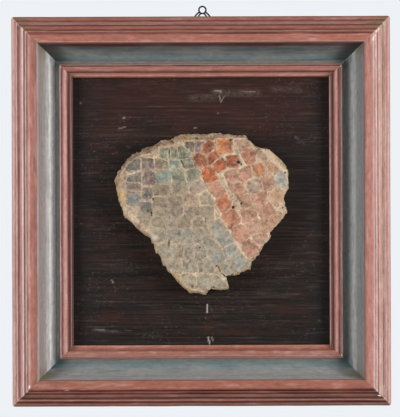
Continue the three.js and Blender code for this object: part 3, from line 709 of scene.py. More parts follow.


# Stripes of the moulding's paint: where each starts and ends, in from the outer edge, its colour,
# and its strength on the top, the bottom, the left and the right. They also hold painted light: paler
# stripes on the stiles are painted highlight where the side lights fall and lighten their shaded grooves,
# and darker ones in the top rail's hollow are painted shade where it faces down
STRIPES = (
    (28.6, 50.0, "grey", 1.0, 1.0, 1.0, 1.0),
    # Painted shade: the slate below, and the dirt at 28.4 to 31.0, darken the top rail's hollow where it
    # faces down
    (28.6, 36.0, "slate", 0.9, 0.0, 0.0, 0.1),
    (36.0, 50.0, "slate", 0.72, 0.2, 0.0, 0.05),
    # Painted highlight: the pale and gesso stripes in the stiles' hollows paint the side lights' bright band
    (35.0, 41.0, "pale", 0.0, 0.0, 0.45, 0.25),
    (38.2, 44.6, "pale", 0.0, 0.0, 1.0, 0.0),
    (46.0, 49.0, "pale", 0.0, 0.0, 0.35, 0.0),
    (40.5, 44.5, "pale", 0.0, 0.0, 0.0, 0.35),
    (38.0, 41.2, "gesso_and_highlight", 0.0, 0.0, 0.12, 0.0),
    (28.8, 30.6, "pale", 0.0, 0.25, 0.0, 0.0),
    (28.8, 35.0, "rubbed", 0.0, 0.0, 0.12, 0.0),
    (29.5, 35.0, "blue", 0.15, 0.1, 0.0, 0.35),
    (34.5, 39.5, "blue", 0.1, 0.45, 0.0, 0.2),
    (39.5, 44.0, "blue", 0.6, 0.85, 0.05, 0.3),
    (43.5, 48.5, "blue", 0.25, 0.65, 0.15, 0.5),
    (43.0, 50.0, "slate", 0.1, 0.05, 0.0, 0.1),
    (46.5, 50.0, "bone", 0.25, 0.1, 0.0, 0.0),
    (28.4, 31.0, "dirt_and_shade", 0.95, 0.0, 0.0, 0.0),
    (28.6, 32.0, "soot", 0.0, 0.0, 0.15, 0.1),
    (0.0, 2.0, "soot", 0.5, 0.95, 0.1, 0.1),
    (0.0, 1.8, "drab", 0.0, 0.0, 0.65, 0.5),
    # Painted highlight: the lilac, rubbed, gesso and bone stripes on the stiles below lighten beads and
    # grooves where the side lights fall
    (0.8, 3.6, "lilac_highlight", 0.0, 0.0, 0.4, 0.4),
    (2.0, 3.6, "soot", 0.5, 0.6, 0.0, 0.0),
    (0.8, 3.8, "rubbed", 0.0, 0.0, 0.6, 0.35),
    (3.8, 6.3, "dirt_and_shade", 0.0, 0.95, 0.0, 0.0),
    (4.4, 6.9, "dirt_and_shade", 0.55, 0.0, 0.0, 0.0),
    (3.6, 5.0, "lilac_highlight", 0.0, 0.0, 0.7, 0.8),
    (5.0, 7.0, "rubbed", 0.0, 0.0, 0.6, 0.5),
    (5.0, 6.4, "lilac_highlight", 0.0, 0.0, 0.3, 0.1),
    (6.4, 7.5, "dirt_and_shade", 0.0, 0.0, 0.15, 0.0),
    (6.6, 8.0, "rubbed", 0.0, 0.68, 0.0, 0.0),
    (6.8, 9.8, "lilac_highlight", 0.0, 0.0, 0.0, 0.95),
    (7.0, 9.5, "gesso_and_highlight", 0.0, 0.0, 0.0, 0.75),
    (7.0, 8.7, "rubbed", 0.75, 0.0, 0.0, 0.0),
    (7.0, 8.6, "lilac_highlight", 0.2, 0.0, 0.0, 0.0),
    (8.4, 10.6, "dirt_and_shade", 0.0, 0.95, 0.0, 0.0),
    (9.1, 10.9, "dirt_and_shade", 0.8, 0.0, 0.0, 0.0),
    (7.6, 9.8, "lilac_highlight", 0.0, 0.0, 0.95, 0.0),
    (8.0, 9.4, "gesso_and_highlight", 0.0, 0.0, 0.4, 0.0),
    (10.4, 13.8, "soot", 0.3, 0.7, 0.0, 0.0),
    (10.4, 13.8, "rust", 0.5, 0.2, 0.0, 0.0),
    (9.8, 13.8, "rubbed", 0.0, 0.0, 0.4, 0.3),
    (9.8, 11.5, "bone", 0.0, 0.0, 0.0, 0.5),
    (11.4, 13.2, "lilac_highlight", 0.0, 0.0, 0.95, 0.15),
    (12.2, 13.8, "lilac_highlight", 0.0, 0.0, 0.0, 0.5),
    (13.7, 16.0, "dirt_and_shade", 0.0, 0.8, 0.0, 0.0),
    (14.9, 16.4, "dirt_and_shade", 0.8, 0.0, 0.0, 0.0),
    (13.7, 14.8, "slate", 0.0, 0.0, 0.3, 0.0),
    (14.8, 16.0, "drab", 0.0, 0.0, 0.5, 0.0),
    (14.8, 17.2, "lilac_highlight", 0.0, 0.0, 0.0, 0.7),
    (16.6, 18.5, "gesso_and_highlight", 0.0, 0.0, 0.0, 0.85),
    (15.8, 17.8, "lilac_highlight", 0.0, 0.0, 0.8, 0.0),
    (17.2, 18.4, "gesso_and_highlight", 0.0, 0.0, 0.55, 0.0),
    (16.6, 17.8, "rubbed", 0.5, 0.0, 0.0, 0.0),
    (16.4, 18.6, "dirt_and_shade", 0.0, 0.6, 0.0, 0.0),
    (17.2, 19.0, "lilac_highlight", 0.0, 0.0, 0.0, 0.6),
    (19.0, 20.2, "lilac_highlight", 0.0, 0.0, 0.4, 0.3),
    (17.4, 19.9, "dirt_and_shade", 0.0, 0.8, 0.0, 0.0),
    (18.2, 20.3, "dirt_and_shade", 0.85, 0.0, 0.0, 0.0),
    (0.0, 18.6, "dirt_and_shade", 0.05, 0.32, 0.0, 0.0),
    (19.8, 28.0, "rubbed", 0.0, 0.0, 0.1, 0.25),
    (19.8, 28.0, "rust", 0.1, 0.45, 0.0, 0.0),
    (24.0, 28.6, "slate", 0.0, 0.0, 0.3, 0.0),
    (26.4, 28.6, "slate", 0.0, 0.0, 0.0, 0.35),
    (27.9, 28.8, "pale", 0.0, 0.0, 0.5, 0.0),
    (27.5, 28.7, "rubbed", 0.4, 0.0, 0.0, 0.0),
    (49.7, 50.7, "bone", 0.4, 0.0, 0.0, 0.0),
    (49.7, 51.4, "lilac_highlight", 0.0, 0.0, 0.9, 0.0),
    (49.2, 50.2, "soot", 0.0, 0.5, 0.0, 0.0),
    (50.0, 51.6, "soot", 0.0, 0.6, 0.0, 0.0),
    (51.1, 52.6, "lilac_highlight", 0.0, 0.0, 0.0, 0.9),
    (50.3, 52.1, "dirt_and_shade", 0.85, 0.0, 0.0, 0.0),
    (52.5, 55.2, "dirt_and_shade", 0.0, 0.0, 0.0, 0.6),
    (51.6, 57.6, "rubbed", 0.1, 0.1, 0.75, 0.0),
    (52.2, 54.4, "rubbed", 0.5, 0.7, 0.0, 0.0),
    (55.8, 58.4, "rubbed", 0.0, 0.0, 0.0, 0.6),
    (55.0, 57.0, "soot", 0.0, 0.25, 0.0, 0.0),
    (54.6, 58.0, "rust", 0.4, 0.0, 0.0, 0.0),
    (56.6, 58.4, "dirt_and_shade", 0.6, 0.1, 0.1, 0.0),
    (58.3, 59.2, "dirt_and_shade", 0.0, 0.1, 0.9, 0.4),
    (59.0, 61.4, "dirt_and_shade", 0.0, 0.0, 1.0, 1.0),
    (58.6, 61.4, "rubbed", 0.45, 0.0, 0.0, 0.0),
    (58.6, 63.1, "rust", 0.1, 0.4, 0.0, 0.0),
    (61.6, 63.1, "bone", 0.1, 0.2, 0.0, 0.0),
    (61.5, 62.4, "lilac_highlight", 0.0, 0.0, 0.8, 0.0),
    (62.2, 63.1, "lilac_highlight", 0.0, 0.0, 0.0, 0.7),
    (62.2, 63.1, "dirt_and_shade", 0.9, 0.0, 1.0, 0.0),
)

# Stains next to the mitres: where each starts and ends, in from the outer edge, how far it reaches
# along the rail, its colour, and its strength on the top, the bottom, the left and the right
CORNER_STAINS = (
    # Painted shade: the soil on the top rail's hollow darkens it where it faces down
    (28.6, 46.0, 30.0, "soil", 0.8, 0.1, 0.0, 0.1),
    (38.0, 50.0, 18.0, "teal", 0.35, 0.75, 0.5, 0.45),
    (28.6, 36.0, 22.0, "olive", 0.1, 0.65, 0.35, 0.25),
    (0.0, 16.0, 24.0, "olive", 0.45, 0.1, 0.0, 0.0),
    (22.0, 28.6, 9.0, "olive", 0.0, 0.3, 0.5, 0.0),
    (9.0, 17.0, 9.0, "soil", 0.0, 0.45, 0.0, 0.0),
    (59.0, 63.1, 7.0, "olive", 0.5, 0.4, 0.4, 0.2),
)

# How far old paint fills the moulding's grooves: at the top, the bottom, the left and the right
FILLED = (0.6, 0.45, 1.0, 1.0)

# Places where the paint is chipped to its white ground: rail, distance along from its middle,
# distance in from the outer edge, and how far the chip reaches along and across
CHIPS = (
    ("frame_right_stile", 199.4, 17.6, 4.0, 1.9),
    ("frame_right_stile", 203.4, 14.2, 1.8, 2.2),
    ("frame_bottom_rail", -158.0, 18.2, 1.6, 0.8),
    ("frame_bottom_rail", 198.0, 11.5, 1.8, 1.1),
    ("frame_left_stile", 202.5, 18.9, 2.2, 1.2),
)


def frame_outline():
    """Middle of the frame as (x, z), and half its width and height."""
    boxes = [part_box(name) for name in RAILS]
    low = [min(box[0][axis] for box in boxes) / MM for axis in (0, 2)]
    high = [max(box[1][axis] for box in boxes) / MM for axis in (0, 2)]
    return [((a + b) / 2, (b - a) / 2) for a, b in zip(low, high)]


def softened(profile, width):
    """How far each point of a profile lies below its smoothed form, and how far along it is."""
    runs = np.hypot(*np.diff(profile, axis=0).T)
    arc = np.concatenate([[0], np.cumsum(runs)])
    weight = np.gradient(arc) * np.exp(-(((arc[:, None] - arc[None]) / width) ** 2))
    return (weight * profile[:, 1]).sum(1) / weight.sum(1) - profile[:, 1], arc


def round_corners(across, down, half, outer, radius):
    """Brings points past the frame's rounded outer corners back onto them."""
    past_x, past_z = np.abs(across) - (half - radius), -down - (outer - radius)
    past = np.hypot(past_x, past_z)
    over = (past_x > 0) & (past_z > 0) & (past > radius)
    pull = np.where(over, radius / np.maximum(past, 1e-6), 1)
    across = np.where(over, np.sign(across) * (half - radius + past_x * pull), across)
    return across, np.where(over, -(outer - radius + past_z * pull), down)


def make_rail(name, turns, look, materials):
    """One mitred length of moulding in the place of its solid, turned by quarters of a turn."""
    (middle_x, half_x), (middle_z, half_z) = frame_outline()
    half, outer = (half_x, half_z) if turns % 2 == 0 else (half_z, half_x)
    front = moulding_profile()
    profile = np.vstack([front, REBATE])
    level, arc = softened(profile, 2.0)
    level[len(front):] = 0

    stops = lengthways(half)
    stops = np.concatenate([-stops[:0:-1], stops])
    t, reach = np.meshgrid(stops / half, profile[:, 0], indexing="ij")
    height = np.broadcast_to(profile[:, 1], reach.shape).copy()
    along = t * half
    seed = 11 * turns
    is_front = np.arange(len(profile)) < len(front)
    free = smooth(half - np.abs(along), 0.5, 9) * is_front
    wobble, dents = look.wobble / MM, look.dents / MM
    crest = smooth(-level, 0.25, 0.9)
    knock = dents * smooth(layered(along, reach, 7, seed), 0.42, 0.8) * crest
    side = SIDES.index(name)
    height = height + np.maximum(level, 0) * FILLED[side] * is_front
    height = height + free * (wobble * layered(along, reach, 38, seed + 1) - knock)
    inward = reach + free * (wobble * layered(along, reach + 90, 30, seed + 2) + 0.4 * knock)
    inward = np.maximum(inward, 0)
    across = t * (half - inward - MITRE_GAP)
    down = inward - outer
    across, down = round_corners(across, down, half, outer, look.corner / MM)
    for _ in range(turns):
        across, down = -down, across
    points = np.stack([middle_x + across, height, middle_z + down], 2).reshape(-1, 3)

    rows, columns = reach.shape
    faces = rings_to_faces(rows, columns)
    indices = [int(k % columns >= len(front) - 1) for k in range(len(faces))]
    faces += [tuple(range(columns)), tuple(range((rows - 1) * columns, rows * columns))]
    piece = make_mesh(name + "_painted", points, faces, materials, indices + [1, 1], 32)
    flat_arc = np.broadcast_to(arc, reach.shape)
    lay_flat(piece, along.ravel(), flat_arc.ravel())
    tone = rail_tone(side, look, half, along, reach, seed)
    paint_points(piece, tone=tone.reshape(-1, 3), chip=chipped(name, along, reach, flat_arc).ravel())
    return piece


def chipped(name, along, reach, arc):
    """How far the paint of a rail is chipped off, from 0 to 1."""
    chip = np.zeros(reach.shape)
    for rail, place, depth, long, wide in CHIPS:
        if rail == name:
            far = np.hypot((along - place) / long, (reach - depth) / wide)
            chip = np.maximum(chip, 1 - smooth(far + 0.3 * rough(along, arc, 1.3, 5), 0.7, 1.0))
    return chip


def rail_tone(side, look, half, along, reach, seed):
    """Colours of the paint on the top, bottom, left or right length of moulding, painted highlight and shade
    included.
    """
    patchy = 0.85 + 0.5 * layered(along / 8, reach, 4, seed + 40)
    tone = np.ones((*reach.shape, 3)) * tuple(look.pink)
    tone = toward(tone, look.rust, 0.6 * smooth(layered(along / 3, reach, 5, seed + 50, 4), 0.05, 0.6))
    tone = toward(tone, look.rubbed, 0.45 * smooth(layered(along / 6, reach, 3, seed + 60, 4), 0.05, 0.6))
    for start, end, name, *strengths in STRIPES:
        strength = strengths[side]
        whole = strength == 1
        soft = 0.1 if whole or end - start < 4 else 1.2
        within = between(reach, start, end, 0.2 + soft, soft)
        tone = toward(tone, getattr(look, name), within * strength * (1 if whole else patchy))
    left_over = half - np.abs(along) + 5 * layered(along, reach, 9, seed + 70)
    for start, end, far, name, *strengths in CORNER_STAINS:
        amount = between(reach, start, end, 0.3, 1.5) * (1 - smooth(left_over, 0.1 * far, far))
        tone = toward(tone, getattr(look, name), amount * strengths[side])
    return tone


def lay_flat(piece, along, across):
    """Gives a piece flat coordinates in metres, for grain that runs along it."""
    mesh = piece.data
    corners = np.empty(len(mesh.loops), np.int32)
    mesh.loops.foreach_get("vertex_index", corners)
    flat = np.stack([along[corners], across[corners]], 1) * MM
    mesh.uv_layers.new(name="grain").data.foreach_set("uv", flat.astype(np.float32).ravel())


def prism(name, sketch, back, front, material):
    """A closed straight-sided object over a sketch of [x, z] points."""
    count = len(sketch)
    points = [(x, h, z) for h in (back, front) for x, z in sketch]
    faces = rings_to_faces(2, count) + [tuple(range(count)), tuple(range(count, 2 * count))]
    return make_mesh(name, points, faces, [material], [1] * len(faces))


def recess_sketch():
    """The recess for the hanger in the back of the top rail."""
    top, shoulder, floor = RECESS_LEVELS
    left = [(-RECESS_MOUTH, top), (-RECESS_FOOT, shoulder), (-RECESS_FOOT, floor)]
    return left + [(-x, z) for x, z in reversed(left)]


# Board

# Dusty scuffs on the board: start and end from its middle, width and strength
SCUFFS = (
    ((-9.4, 122.0), (15.3, 122.6), 11.0, 0.36),
    ((13.7, 126.6), (60.5, 126.4), 13.0, 0.4),
    ((77.6, 130.0), (104.0, 130.4), 12.0, 0.26),
    ((8.0, -100.5), (11.0, -107.0), 3.5, 0.35),
    ((-116.0, -126.5), (-86.5, -128.6), 4.4, 0.5),
    ((-82.0, -127.0), (-74.0, -128.0), 2.4, 0.4),
    ((101.0, 79.0), (110.0, 72.5), 4.0, 0.35),
    ((-86.5, 103.5), (-80.0, 99.5), 4.0, 0.3),
    ((60.0, -88.0), (104.0, -89.0), 1.8, 0.35),
    ((48.0, -61.0), (112.0, -62.0), 1.6, 0.3),
    ((-118.0, -96.0), (-70.0, -97.0), 1.8, 0.3),
)

# Scratches down to pale wood: start and end from the board's middle, width and strength
SCRATCHES = (
    ((6.1, -100.4), (6.2, -108.6), 2.0, 1.0),
    ((6.8, -134.9), (8.6, -141.6), 1.9, 0.8),
    ((10.8, -134.9), (12.4, -138.7), 1.6, 0.45),
    ((15.0, 128.6), (21.7, 128.2), 1.9, 0.45),
    ((19.6, 123.4), (21.7, 116.8), 1.6, 0.4),
    ((21.7, 116.8), (25.0, 123.0), 1.3, 0.3),
    ((35.7, 128.2), (58.2, 128.0), 1.2, 0.4),
    ((-83.2, 99.9), (-81.6, 99.9), 1.9, 0.6),
    ((18.0, 105.0), (18.7, 105.0), 1.6, 0.3),
    ((-87.8, 88.6), (-80.9, 90.4), 1.6, 0.3),
    ((-7.4, 88.6), (-4.4, 89.2), 1.6, 0.35),
    ((-129.4, 117.4), (-128.0, 115.0), 1.6, 0.3),
    ((-113.0, -125.8), (-104.0, -126.8), 1.5, 0.3),
    ((-96.0, -73.5), (-94.5, -76.0), 1.8, 0.4),
)


def make_board(look, materials):
    """The backboard, with raised grain on its front."""
    low, high = (np.array(corner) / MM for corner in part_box("backboard"))
    spots = [np.linspace(low[k], high[k], round((high[k] - low[k]) / BOARD_STEP)) for k in (0, 2)]
    x, z = np.meshgrid(*spots, indexing="ij")
    bow = 3 * layered(x, z, 150, 3)
    grain = layered(x / 22, z + bow, 3.4, 5)
    front = -low[1] - look.ridges / MM * (0.5 + 0.5 * grain)
    points = np.stack([x, front, z], 2).reshape(-1, 3)
    rows, columns = x.shape
    faces = rings_to_faces(rows, columns, closed=False)
    last = rows * columns
    index = np.arange(last).reshape(rows, columns)
    border = np.concatenate([index[0], index[1:, -1], index[-1, -2::-1], index[-2:0:-1, 0]]).tolist()
    back = points[border] * (1, 0, 1) + (0, -high[1], 0)
    count = len(border)
    for k in range(count):
        after = (k + 1) % count
        faces.append((border[k], border[after], last + after, last + k))
    faces.append(tuple(range(last, last + count)))
    indices = [0] * (len(faces) - 1) + [1]
    piece = make_mesh("backboard_stained", np.vstack([points, back]), faces, materials, indices)
    middle_x, middle_z = (low[0] + high[0]) / 2, (low[2] + high[2]) / 2
    all_x = np.concatenate([x.ravel(), back[:, 0]])
    all_z = np.concatenate([z.ravel(), back[:, 2]])
    lay_flat(piece, all_x, all_z)
    from_x, from_z = all_x - middle_x, all_z - middle_z
    warm = 0.6 * smooth(from_z + 20 * layered(all_x, all_z, 60, 13), 60, 120)
    # Painted shade: darker along the left and right sides, where the frame shades the board
    cool = 0.65 * smooth(np.abs(from_x) + 8 * layered(all_x, all_z, 24, 15), 96, 132)
    scuff, scratch = marked(from_x, from_z, SCUFFS, 0), marked(from_x, from_z, SCRATCHES, 0.25)
    paint_points(piece, scuff=scuff, scratch=scratch, warm=warm, cool=cool)
    return piece


def marked(x, z, strokes, core):
    """How strongly places are marked by a table of strokes, from 0 to 1."""
    mark = np.zeros(len(x))
    for start, end, width, strength in strokes:
        mark = np.maximum(mark, near_line(x, z, start, end, width, core) * strength)
    return mark


# Mosaic

# The middle of the fragment. The tables below give places on it as (x, z) from there
FRAGMENT = (-0.4, -219.6)

# Pits: x, z, how far it reaches and how deep
PITS = (
    (-32.4, 76.4, 1.8, 1.6),
    (-6.1, 79.5, 2.2, 2.6),
    (29.9, 77.9, 1.5, 1.6),
    (13.5, 74.7, 1.2, 1.2),
    (37.8, 54.1, 2.3, 2.6),
    (40.5, 52.0, 1.5, 2.0),
    (59.5, 67.6, 1.2, 1.2),
    (86.8, 42.8, 1.4, 1.4),
    (75.9, 41.9, 1.0, 1.0),
    (32.0, 6.5, 2.0, 2.8),
    (40.7, 11.0, 1.6, 2.6),
    (-52.4, 15.7, 1.3, 1.4),
    (-3.1, -35.5, 1.4, 1.4),
    (-11.6, -77.1, 1.6, 1.6),
    (10.8, -77.6, 1.5, 1.6),
    (84.3, 6.0, 1.4, 1.4),
    (-47.4, 58.9, 1.0, 1.0),
    (14.4, -55.2, 1.2, 2.0),
    (16.6, -57.0, 0.9, 1.6),
    (17.8, -60.2, 1.0, 1.6),
    (22.4, -65.4, 1.0, 1.4),
)

# Dark slits and cracks: start, end, width and depth
SLITS = (
    ((-35.2, 66.8), (-35.2, 61.5), 1.0, 0.9),
    ((-22.5, 56.2), (-19.3, 48.8), 1.1, 1.1),
    ((-25.1, 68.9), (-25.1, 64.7), 1.0, 0.9),
    ((-53.9, 2.3), (-53.9, -2.0), 1.3, 1.0),
    ((-35.7, -27.4), (-35.7, -34.2), 1.3, 1.0),
    ((23.5, -66.4), (18.2, -61.2), 0.9, 0.6),
    ((17.8, -60.6), (16.0, -55.4), 0.8, 0.7),
    ((17.2, -52.2), (18.2, -49.0), 0.7, 0.5),
    ((2.7, -4.1), (2.7, -9.4), 0.9, 0.8),
)

# Strokes of other colours on the mortar and the stones: start, end, width, strength, colour
STROKES = (
    ((-78.6, 41.4), (-64.8, 45.6), 3.0, 0.9, "cream"),
    ((-36.3, 66.8), (-36.3, 55.2), 2.2, 0.8, "cream"),
    ((-25.7, 67.9), (-25.7, 60.5), 2.0, 0.7, "cream"),
    ((-32.6, 40.3), (-32.6, 29.8), 2.2, 0.7, "cream"),
    ((-63.2, 44.6), (-63.2, 40.3), 2.0, 0.7, "cream"),
    ((-18.3, -49.6), (-16.3, -49.8), 4.0, 0.7, "cream"),
    ((-0.8, -15.5), (0.8, -15.9), 4.0, 0.7, "cream"),
    ((21.5, -67.6), (24.0, -67.0), 7.0, 0.9, "cream"),
    ((-87.0, 22.4), (-83.9, 19.2), 6.0, 0.7, "coral"),
    ((-39.4, 77.4), (-34.1, 74.2), 6.0, 0.6, "coral"),
    ((-64.8, -12.6), (-61.7, -14.7), 5.0, 0.6, "coral"),
    ((-16.2, -46.4), (-14.8, -46.6), 5.0, 0.5, "brick"),
    ((35.7, 66.8), (38.9, 56.2), 4.2, 0.8, "sand"),
    ((57.6, 39.8), (59.4, 39.9), 3.0, 0.9, "green"),
    ((1.3, -4.1), (1.3, -9.4), 1.6, 0.8, "cream"),
    ((-65.2, 58.3), (-64.2, 24.0), 1.8, 0.8, "cream"),
    ((-50.2, 47.4), (-34.0, 46.4), 1.8, 0.8, "cream"),
    ((-65.2, 13.6), (-52.7, 12.6), 1.8, 0.8, "cream"),
    ((-78.9, 33.2), (-65.2, 32.4), 1.6, 0.7, "cream"),
    ((-80.0, 24.4), (-66.0, 23.6), 1.8, 0.6, "cream"),
    ((-51.6, 60.6), (-50.2, 47.4), 1.8, 0.7, "cream"),
    # Painted shade: the next earth stroke darkens the inner edge of the rim where it meets the stones
    ((-47.9, 63.8), (-17.7, 72.4), 2.6, 0.6, "earth"),
    ((-84.0, 48.0), (-70.0, 62.0), 3.0, 0.5, "earth"),
    ((-87.0, 24.0), (-85.0, 14.0), 9.0, 0.9, "ochre"),
    ((-91.0, 48.0), (-90.0, 28.0), 8.0, 0.5, "earth"),
    # The cream strokes below on the rim are partly its cream mortar, partly painted highlight where the side
    # lights catch it
    ((-88.0, 8.0), (-70.0, -8.0), 9.0, 0.8, "cream"),
    ((-64.0, -12.0), (-50.0, -26.0), 6.0, 0.6, "cream"),
    ((-12.0, 82.5), (8.0, 83.5), 5.0, 0.6, "cream"),
    ((10.0, 83.0), (34.0, 82.0), 4.0, 0.6, "cream"),
    ((66.0, 66.0), (90.0, 42.0), 8.0, 0.6, "cream"),
    ((87.5, 24.0), (88.0, 0.0), 5.0, 0.6, "cream"),
    ((-30.0, -62.0), (-14.0, -80.0), 6.0, 0.6, "ochre"),
    ((-14.0, -80.0), (0.0, -84.0), 5.0, 0.6, "cream"),
    ((23.6, -66.6), (17.6, -60.6), 2.2, 0.6, "brick"),
    ((-13.0, -76.6), (6.0, -77.1), 1.8, 0.6, "earth"),
    ((-35.2, -53.8), (-25.7, -59.1), 2.0, 0.6, "earth"),
    ((17.4, -58.2), (19.8, -41.1), 1.3, 0.7, "earth"),
    ((19.8, -41.1), (14.5, -32.7), 1.5, 0.7, "earth"),
    ((14.5, -32.7), (8.2, -27.4), 2.2, 0.6, "earth"),
    ((8.2, -27.4), (4.0, -12.0), 1.3, 0.5, "earth"),
    ((4.0, -12.0), (3.4, -4.0), 1.3, 0.5, "earth"),
)

# Parts of the mortar that differ from its body: x, z, reach, strength, colour
MORTAR_PATCHES = (
    (62.0, 30.0, 46.0, 0.75, "cream"),
    (48.0, -20.0, 40.0, 0.6, "cream"),
    (24.0, 66.0, 30.0, 0.5, "cream"),
    (-12.0, 60.0, 26.0, 0.35, "cream"),
    (-70.0, 60.0, 44.0, 0.65, "earth"),
    (-34.0, 4.0, 36.0, 0.55, "earth"),
    (-14.0, 26.0, 26.0, 0.45, "earth"),
    (-2.0, -46.0, 34.0, 0.4, "chalk"),
    (22.0, -34.0, 22.0, 0.6, "chalk"),
    (-10.0, -70.0, 26.0, 0.45, "cream"),
    (-60.0, -8.0, 24.0, 0.4, "tan"),
)

# Parts of the mosaic whose stones lean towards another colour: x, z, reach, strength, colour
STONE_PATCHES = (
    (31.0, -6.0, 20.0, 0.7, "rose"),
    (21.0, 11.0, 12.0, 0.35, "rose"),
    (58.0, -6.0, 34.0, 0.4, "rose"),
    (46.0, 62.0, 18.0, 0.5, "brick"),
    (52.0, -28.0, 26.0, 0.35, "blush"),
    (-12.0, 46.0, 14.0, 0.4, "umber"),
)

# Kinds of stone under the mortar, and the places where each is found: x, z, reach
VEILED_KINDS = {
    "umber": ((-42.0, 24.0, 10.0), (4.0, 14.0, 8.0)),
    "mauve": ((-6.6, 28.7, 7.0), (-27.0, 1.0, 7.0)),
    "dun": ((-8.7, 13.0, 7.0), (30.0, 10.0, 6.0)),
    "drab": ((-30.0, 20.0, 12.0), (-50.0, -4.0, 10.0), (-44.7, 2.3, 7.0), (-10.0, -8.0, 12.0)),
    "sand": ((-20.0, -40.0, 26.0), (0.0, -72.0, 20.0), (0.0, -24.0, 12.0)),
    "seam": ((20.0, -22.0, 9.0), (34.0, -44.0, 9.0), (17.0, -46.0, 9.0)),
}
FIRED = ("brick", "coral", "orange")

# The second colour that clouds each kind of stone
VEINS = {
    "green": "umber", "mist": "green", "slate": "mauve", "ash": "slate", "chalk": "sand", "plum": "mauve",
    "wine": "slate", "umber": "mauve", "brick": "coral", "coral": "orange", "orange": "dun", "rose": "tan",
    "blush": "rose", "dun": "mauve", "tan": "rose", "drab": "umber", "sand": "seam", "mauve": "dun",
    "seam": "sand",
}


def bed_corners():
    """The foot and the rim of the broken edge, corner for corner, from the bed's solid."""
    points = node_points("mortar_bed")
    rings = []
    for level in (SLAB_FOOT, SLAB_MIDDLE):
        ring = points[np.abs(points[:, 1] - level) < 0.01][:, (0, 2)] - FRAGMENT
        ring = np.unique(ring.round(2), axis=0)
        rings.append(ring[np.argsort(np.arctan2(ring[:, 1], ring[:, 0]))])
    foot, middle = rings
    return foot, foot + (middle - foot) / MIDDLE_SHARE


def ragged_rings(look):
    """Rings of points down the broken edge, from the rim to the back, as (x, height, z)."""
    foot, rim = bed_corners()
    closed = np.vstack([foot, foot[:1]])
    runs = np.concatenate([[0], np.cumsum(np.hypot(*np.diff(closed, axis=0).T))])
    places = np.linspace(0, runs[-1], round(runs[-1] / (1.25 * look.spacing / MM)), endpoint=False)
    foot, rim = (
        np.stack([np.interp(places, runs, np.append(ring[:, k], ring[0, k])) for k in (0, 1)], 1)
        for ring in (foot, rim)
    )
    away = foot / np.hypot(*foot.T)[:, None]
    crumble = look.crumble / MM
    rings = []
    for rise in (1.0, 0.985, 0.95, 0.9, 0.84, 0.77, 0.7, 0.62, 0.54, 0.46, 0.38, 0.3, 0.2, 0.1):
        inset = np.interp(rise, (0.12, 0.55, 0.93, 1.0), (0, 0.4, 0.85, 1.0))
        x, z = (foot + (rim - foot) * inset).T
        height = SLAB_BACK + (SLAB_FACE - SLAB_BACK) * rise
        leaning, lifted = x + 0.8 * height, z - 0.6 * height
        push = layered(leaning, lifted, 8, 31) + 0.9 * layered(leaning, lifted, 3.0, 37)
        sink = 0.5 * crumble * (1 + layered(x, z, 5, 41)) * (rise > 0.9)
        push = push * crumble - 0.4
        ring = np.stack([x + away[:, 0] * push, np.full(len(x), height) - sink, z + away[:, 1] * push], 1)
        rings.append(ring)
    last = rings[-1] - np.stack([away[:, 0], np.zeros(len(away)), away[:, 1]], 1) * 1.3
    last[:, 1] = SLAB_BACK
    return rings + [last]


def worn_depth(x, z):
    """How deep pits, slits and cracks go below the face at places on the fragment."""
    depth = np.zeros(np.shape(x))
    wander = 0.35 * rough(x, z, 1.1, 51)
    for px, pz, reach, deep in PITS:
        depth = np.maximum(depth, deep * (1 - smooth(np.hypot(x - px, z - pz) + wander, 0.3 * reach, reach)))
    for start, end, width, deep in SLITS:
        depth = np.maximum(depth, deep * near_line(x + wander, z - wander, start, end, width * 1.3))
    return depth


def stroked(colours, x, z, palettes):
    """Lays the strokes of other colours over an array of colours."""
    ragged = 0.7 + 0.5 * rough(x, z, 1.6, 61)
    for start, end, width, strength, name in STROKES:
        amount = near_line(x, z, start, end, width) * strength * ragged
        colours = toward(colours, pick(name, palettes), amount)
    return colours


def pick(name, palettes):
    """A colour by its name from the first group of settings that has it."""
    return next(getattr(look, name) for look in palettes if hasattr(look, name))


class Stone:
    """One tessera: its outline on the fragment, the height of its face and its kind."""

    def __init__(self, name, corners, top, kind, node):
        self.name = name
        self.corners = corners
        self.top = top
        self.kind = kind
        self.node = node
        self.middle = corners.mean(0)


def loose_stones():
    """The tesserae that are solids of their own."""
    stones = []
    for node in sorted(name for name in frame["nodes"] if name.startswith("tessera_")):
        points = node_points(node)
        top = points[:, 1].max()
        face = points[points[:, 1] > top - 0.05][:, (0, 2)] - FRAGMENT
        stones.append(Stone(node + "_worn", hull(face), top, node.split("_")[1], node))
    return stones


def veiled_stones():
    """The stones that the bed's solid carries as raised islands, found by their level faces."""
    points = node_points("mortar_bed")
    mesh = frame["nodes"]["mortar_bed"].data
    islands = {}
    for face in mesh.polygons:
        corners = points[list(face.vertices)]
        if corners[:, 1].min() > SLAB_FACE + 0.3 and np.ptp(corners[:, 1]) < 0.01:
            islands.setdefault(round(float(corners[0, 1]), 3), []).append(corners)
    stones = []
    for level, faces in sorted(islands.items()):
        face = np.vstack(faces)[:, (0, 2)] - FRAGMENT
        middle = face.mean(0)
        nearest = min(
            (math.hypot(middle[0] - x, middle[1] - z) / reach, kind)
            for kind, places in VEILED_KINDS.items()
            for x, z, reach in places
        )
        stones.append(Stone(None, hull(face), level, nearest[1], None))
    stones.sort(key=lambda stone: (-round(stone.middle[1] / 12), stone.middle[0]))
    for number, stone in enumerate(stones, 1):
        stone.name = f"veiled_{stone.kind}_{number}"
    return stones


def clearance(stones, x, z):
    """How far places lie outside the nearest stone, negative inside it."""
    clear = np.full(x.shape, 1e9)
    for stone in stones:
        near = np.hypot(x - stone.middle[0], z - stone.middle[1]) < STONE_REACH
        clear[near] = np.minimum(clear[near], outside(stone.corners, x[near], z[near]))
    return clear


def search_tree(places):
    """A tree that finds the nearest of some places."""
    tree = kdtree.KDTree(len(places))
    for i, (x, z) in enumerate(places):
        tree.insert((x, z, 0), i)
    tree.balance()
    return tree


def distances(tree, places):
    """How far each place lies from the nearest one in a tree."""
    return np.array([tree.find((x, z, 0))[2] for x, z in places])


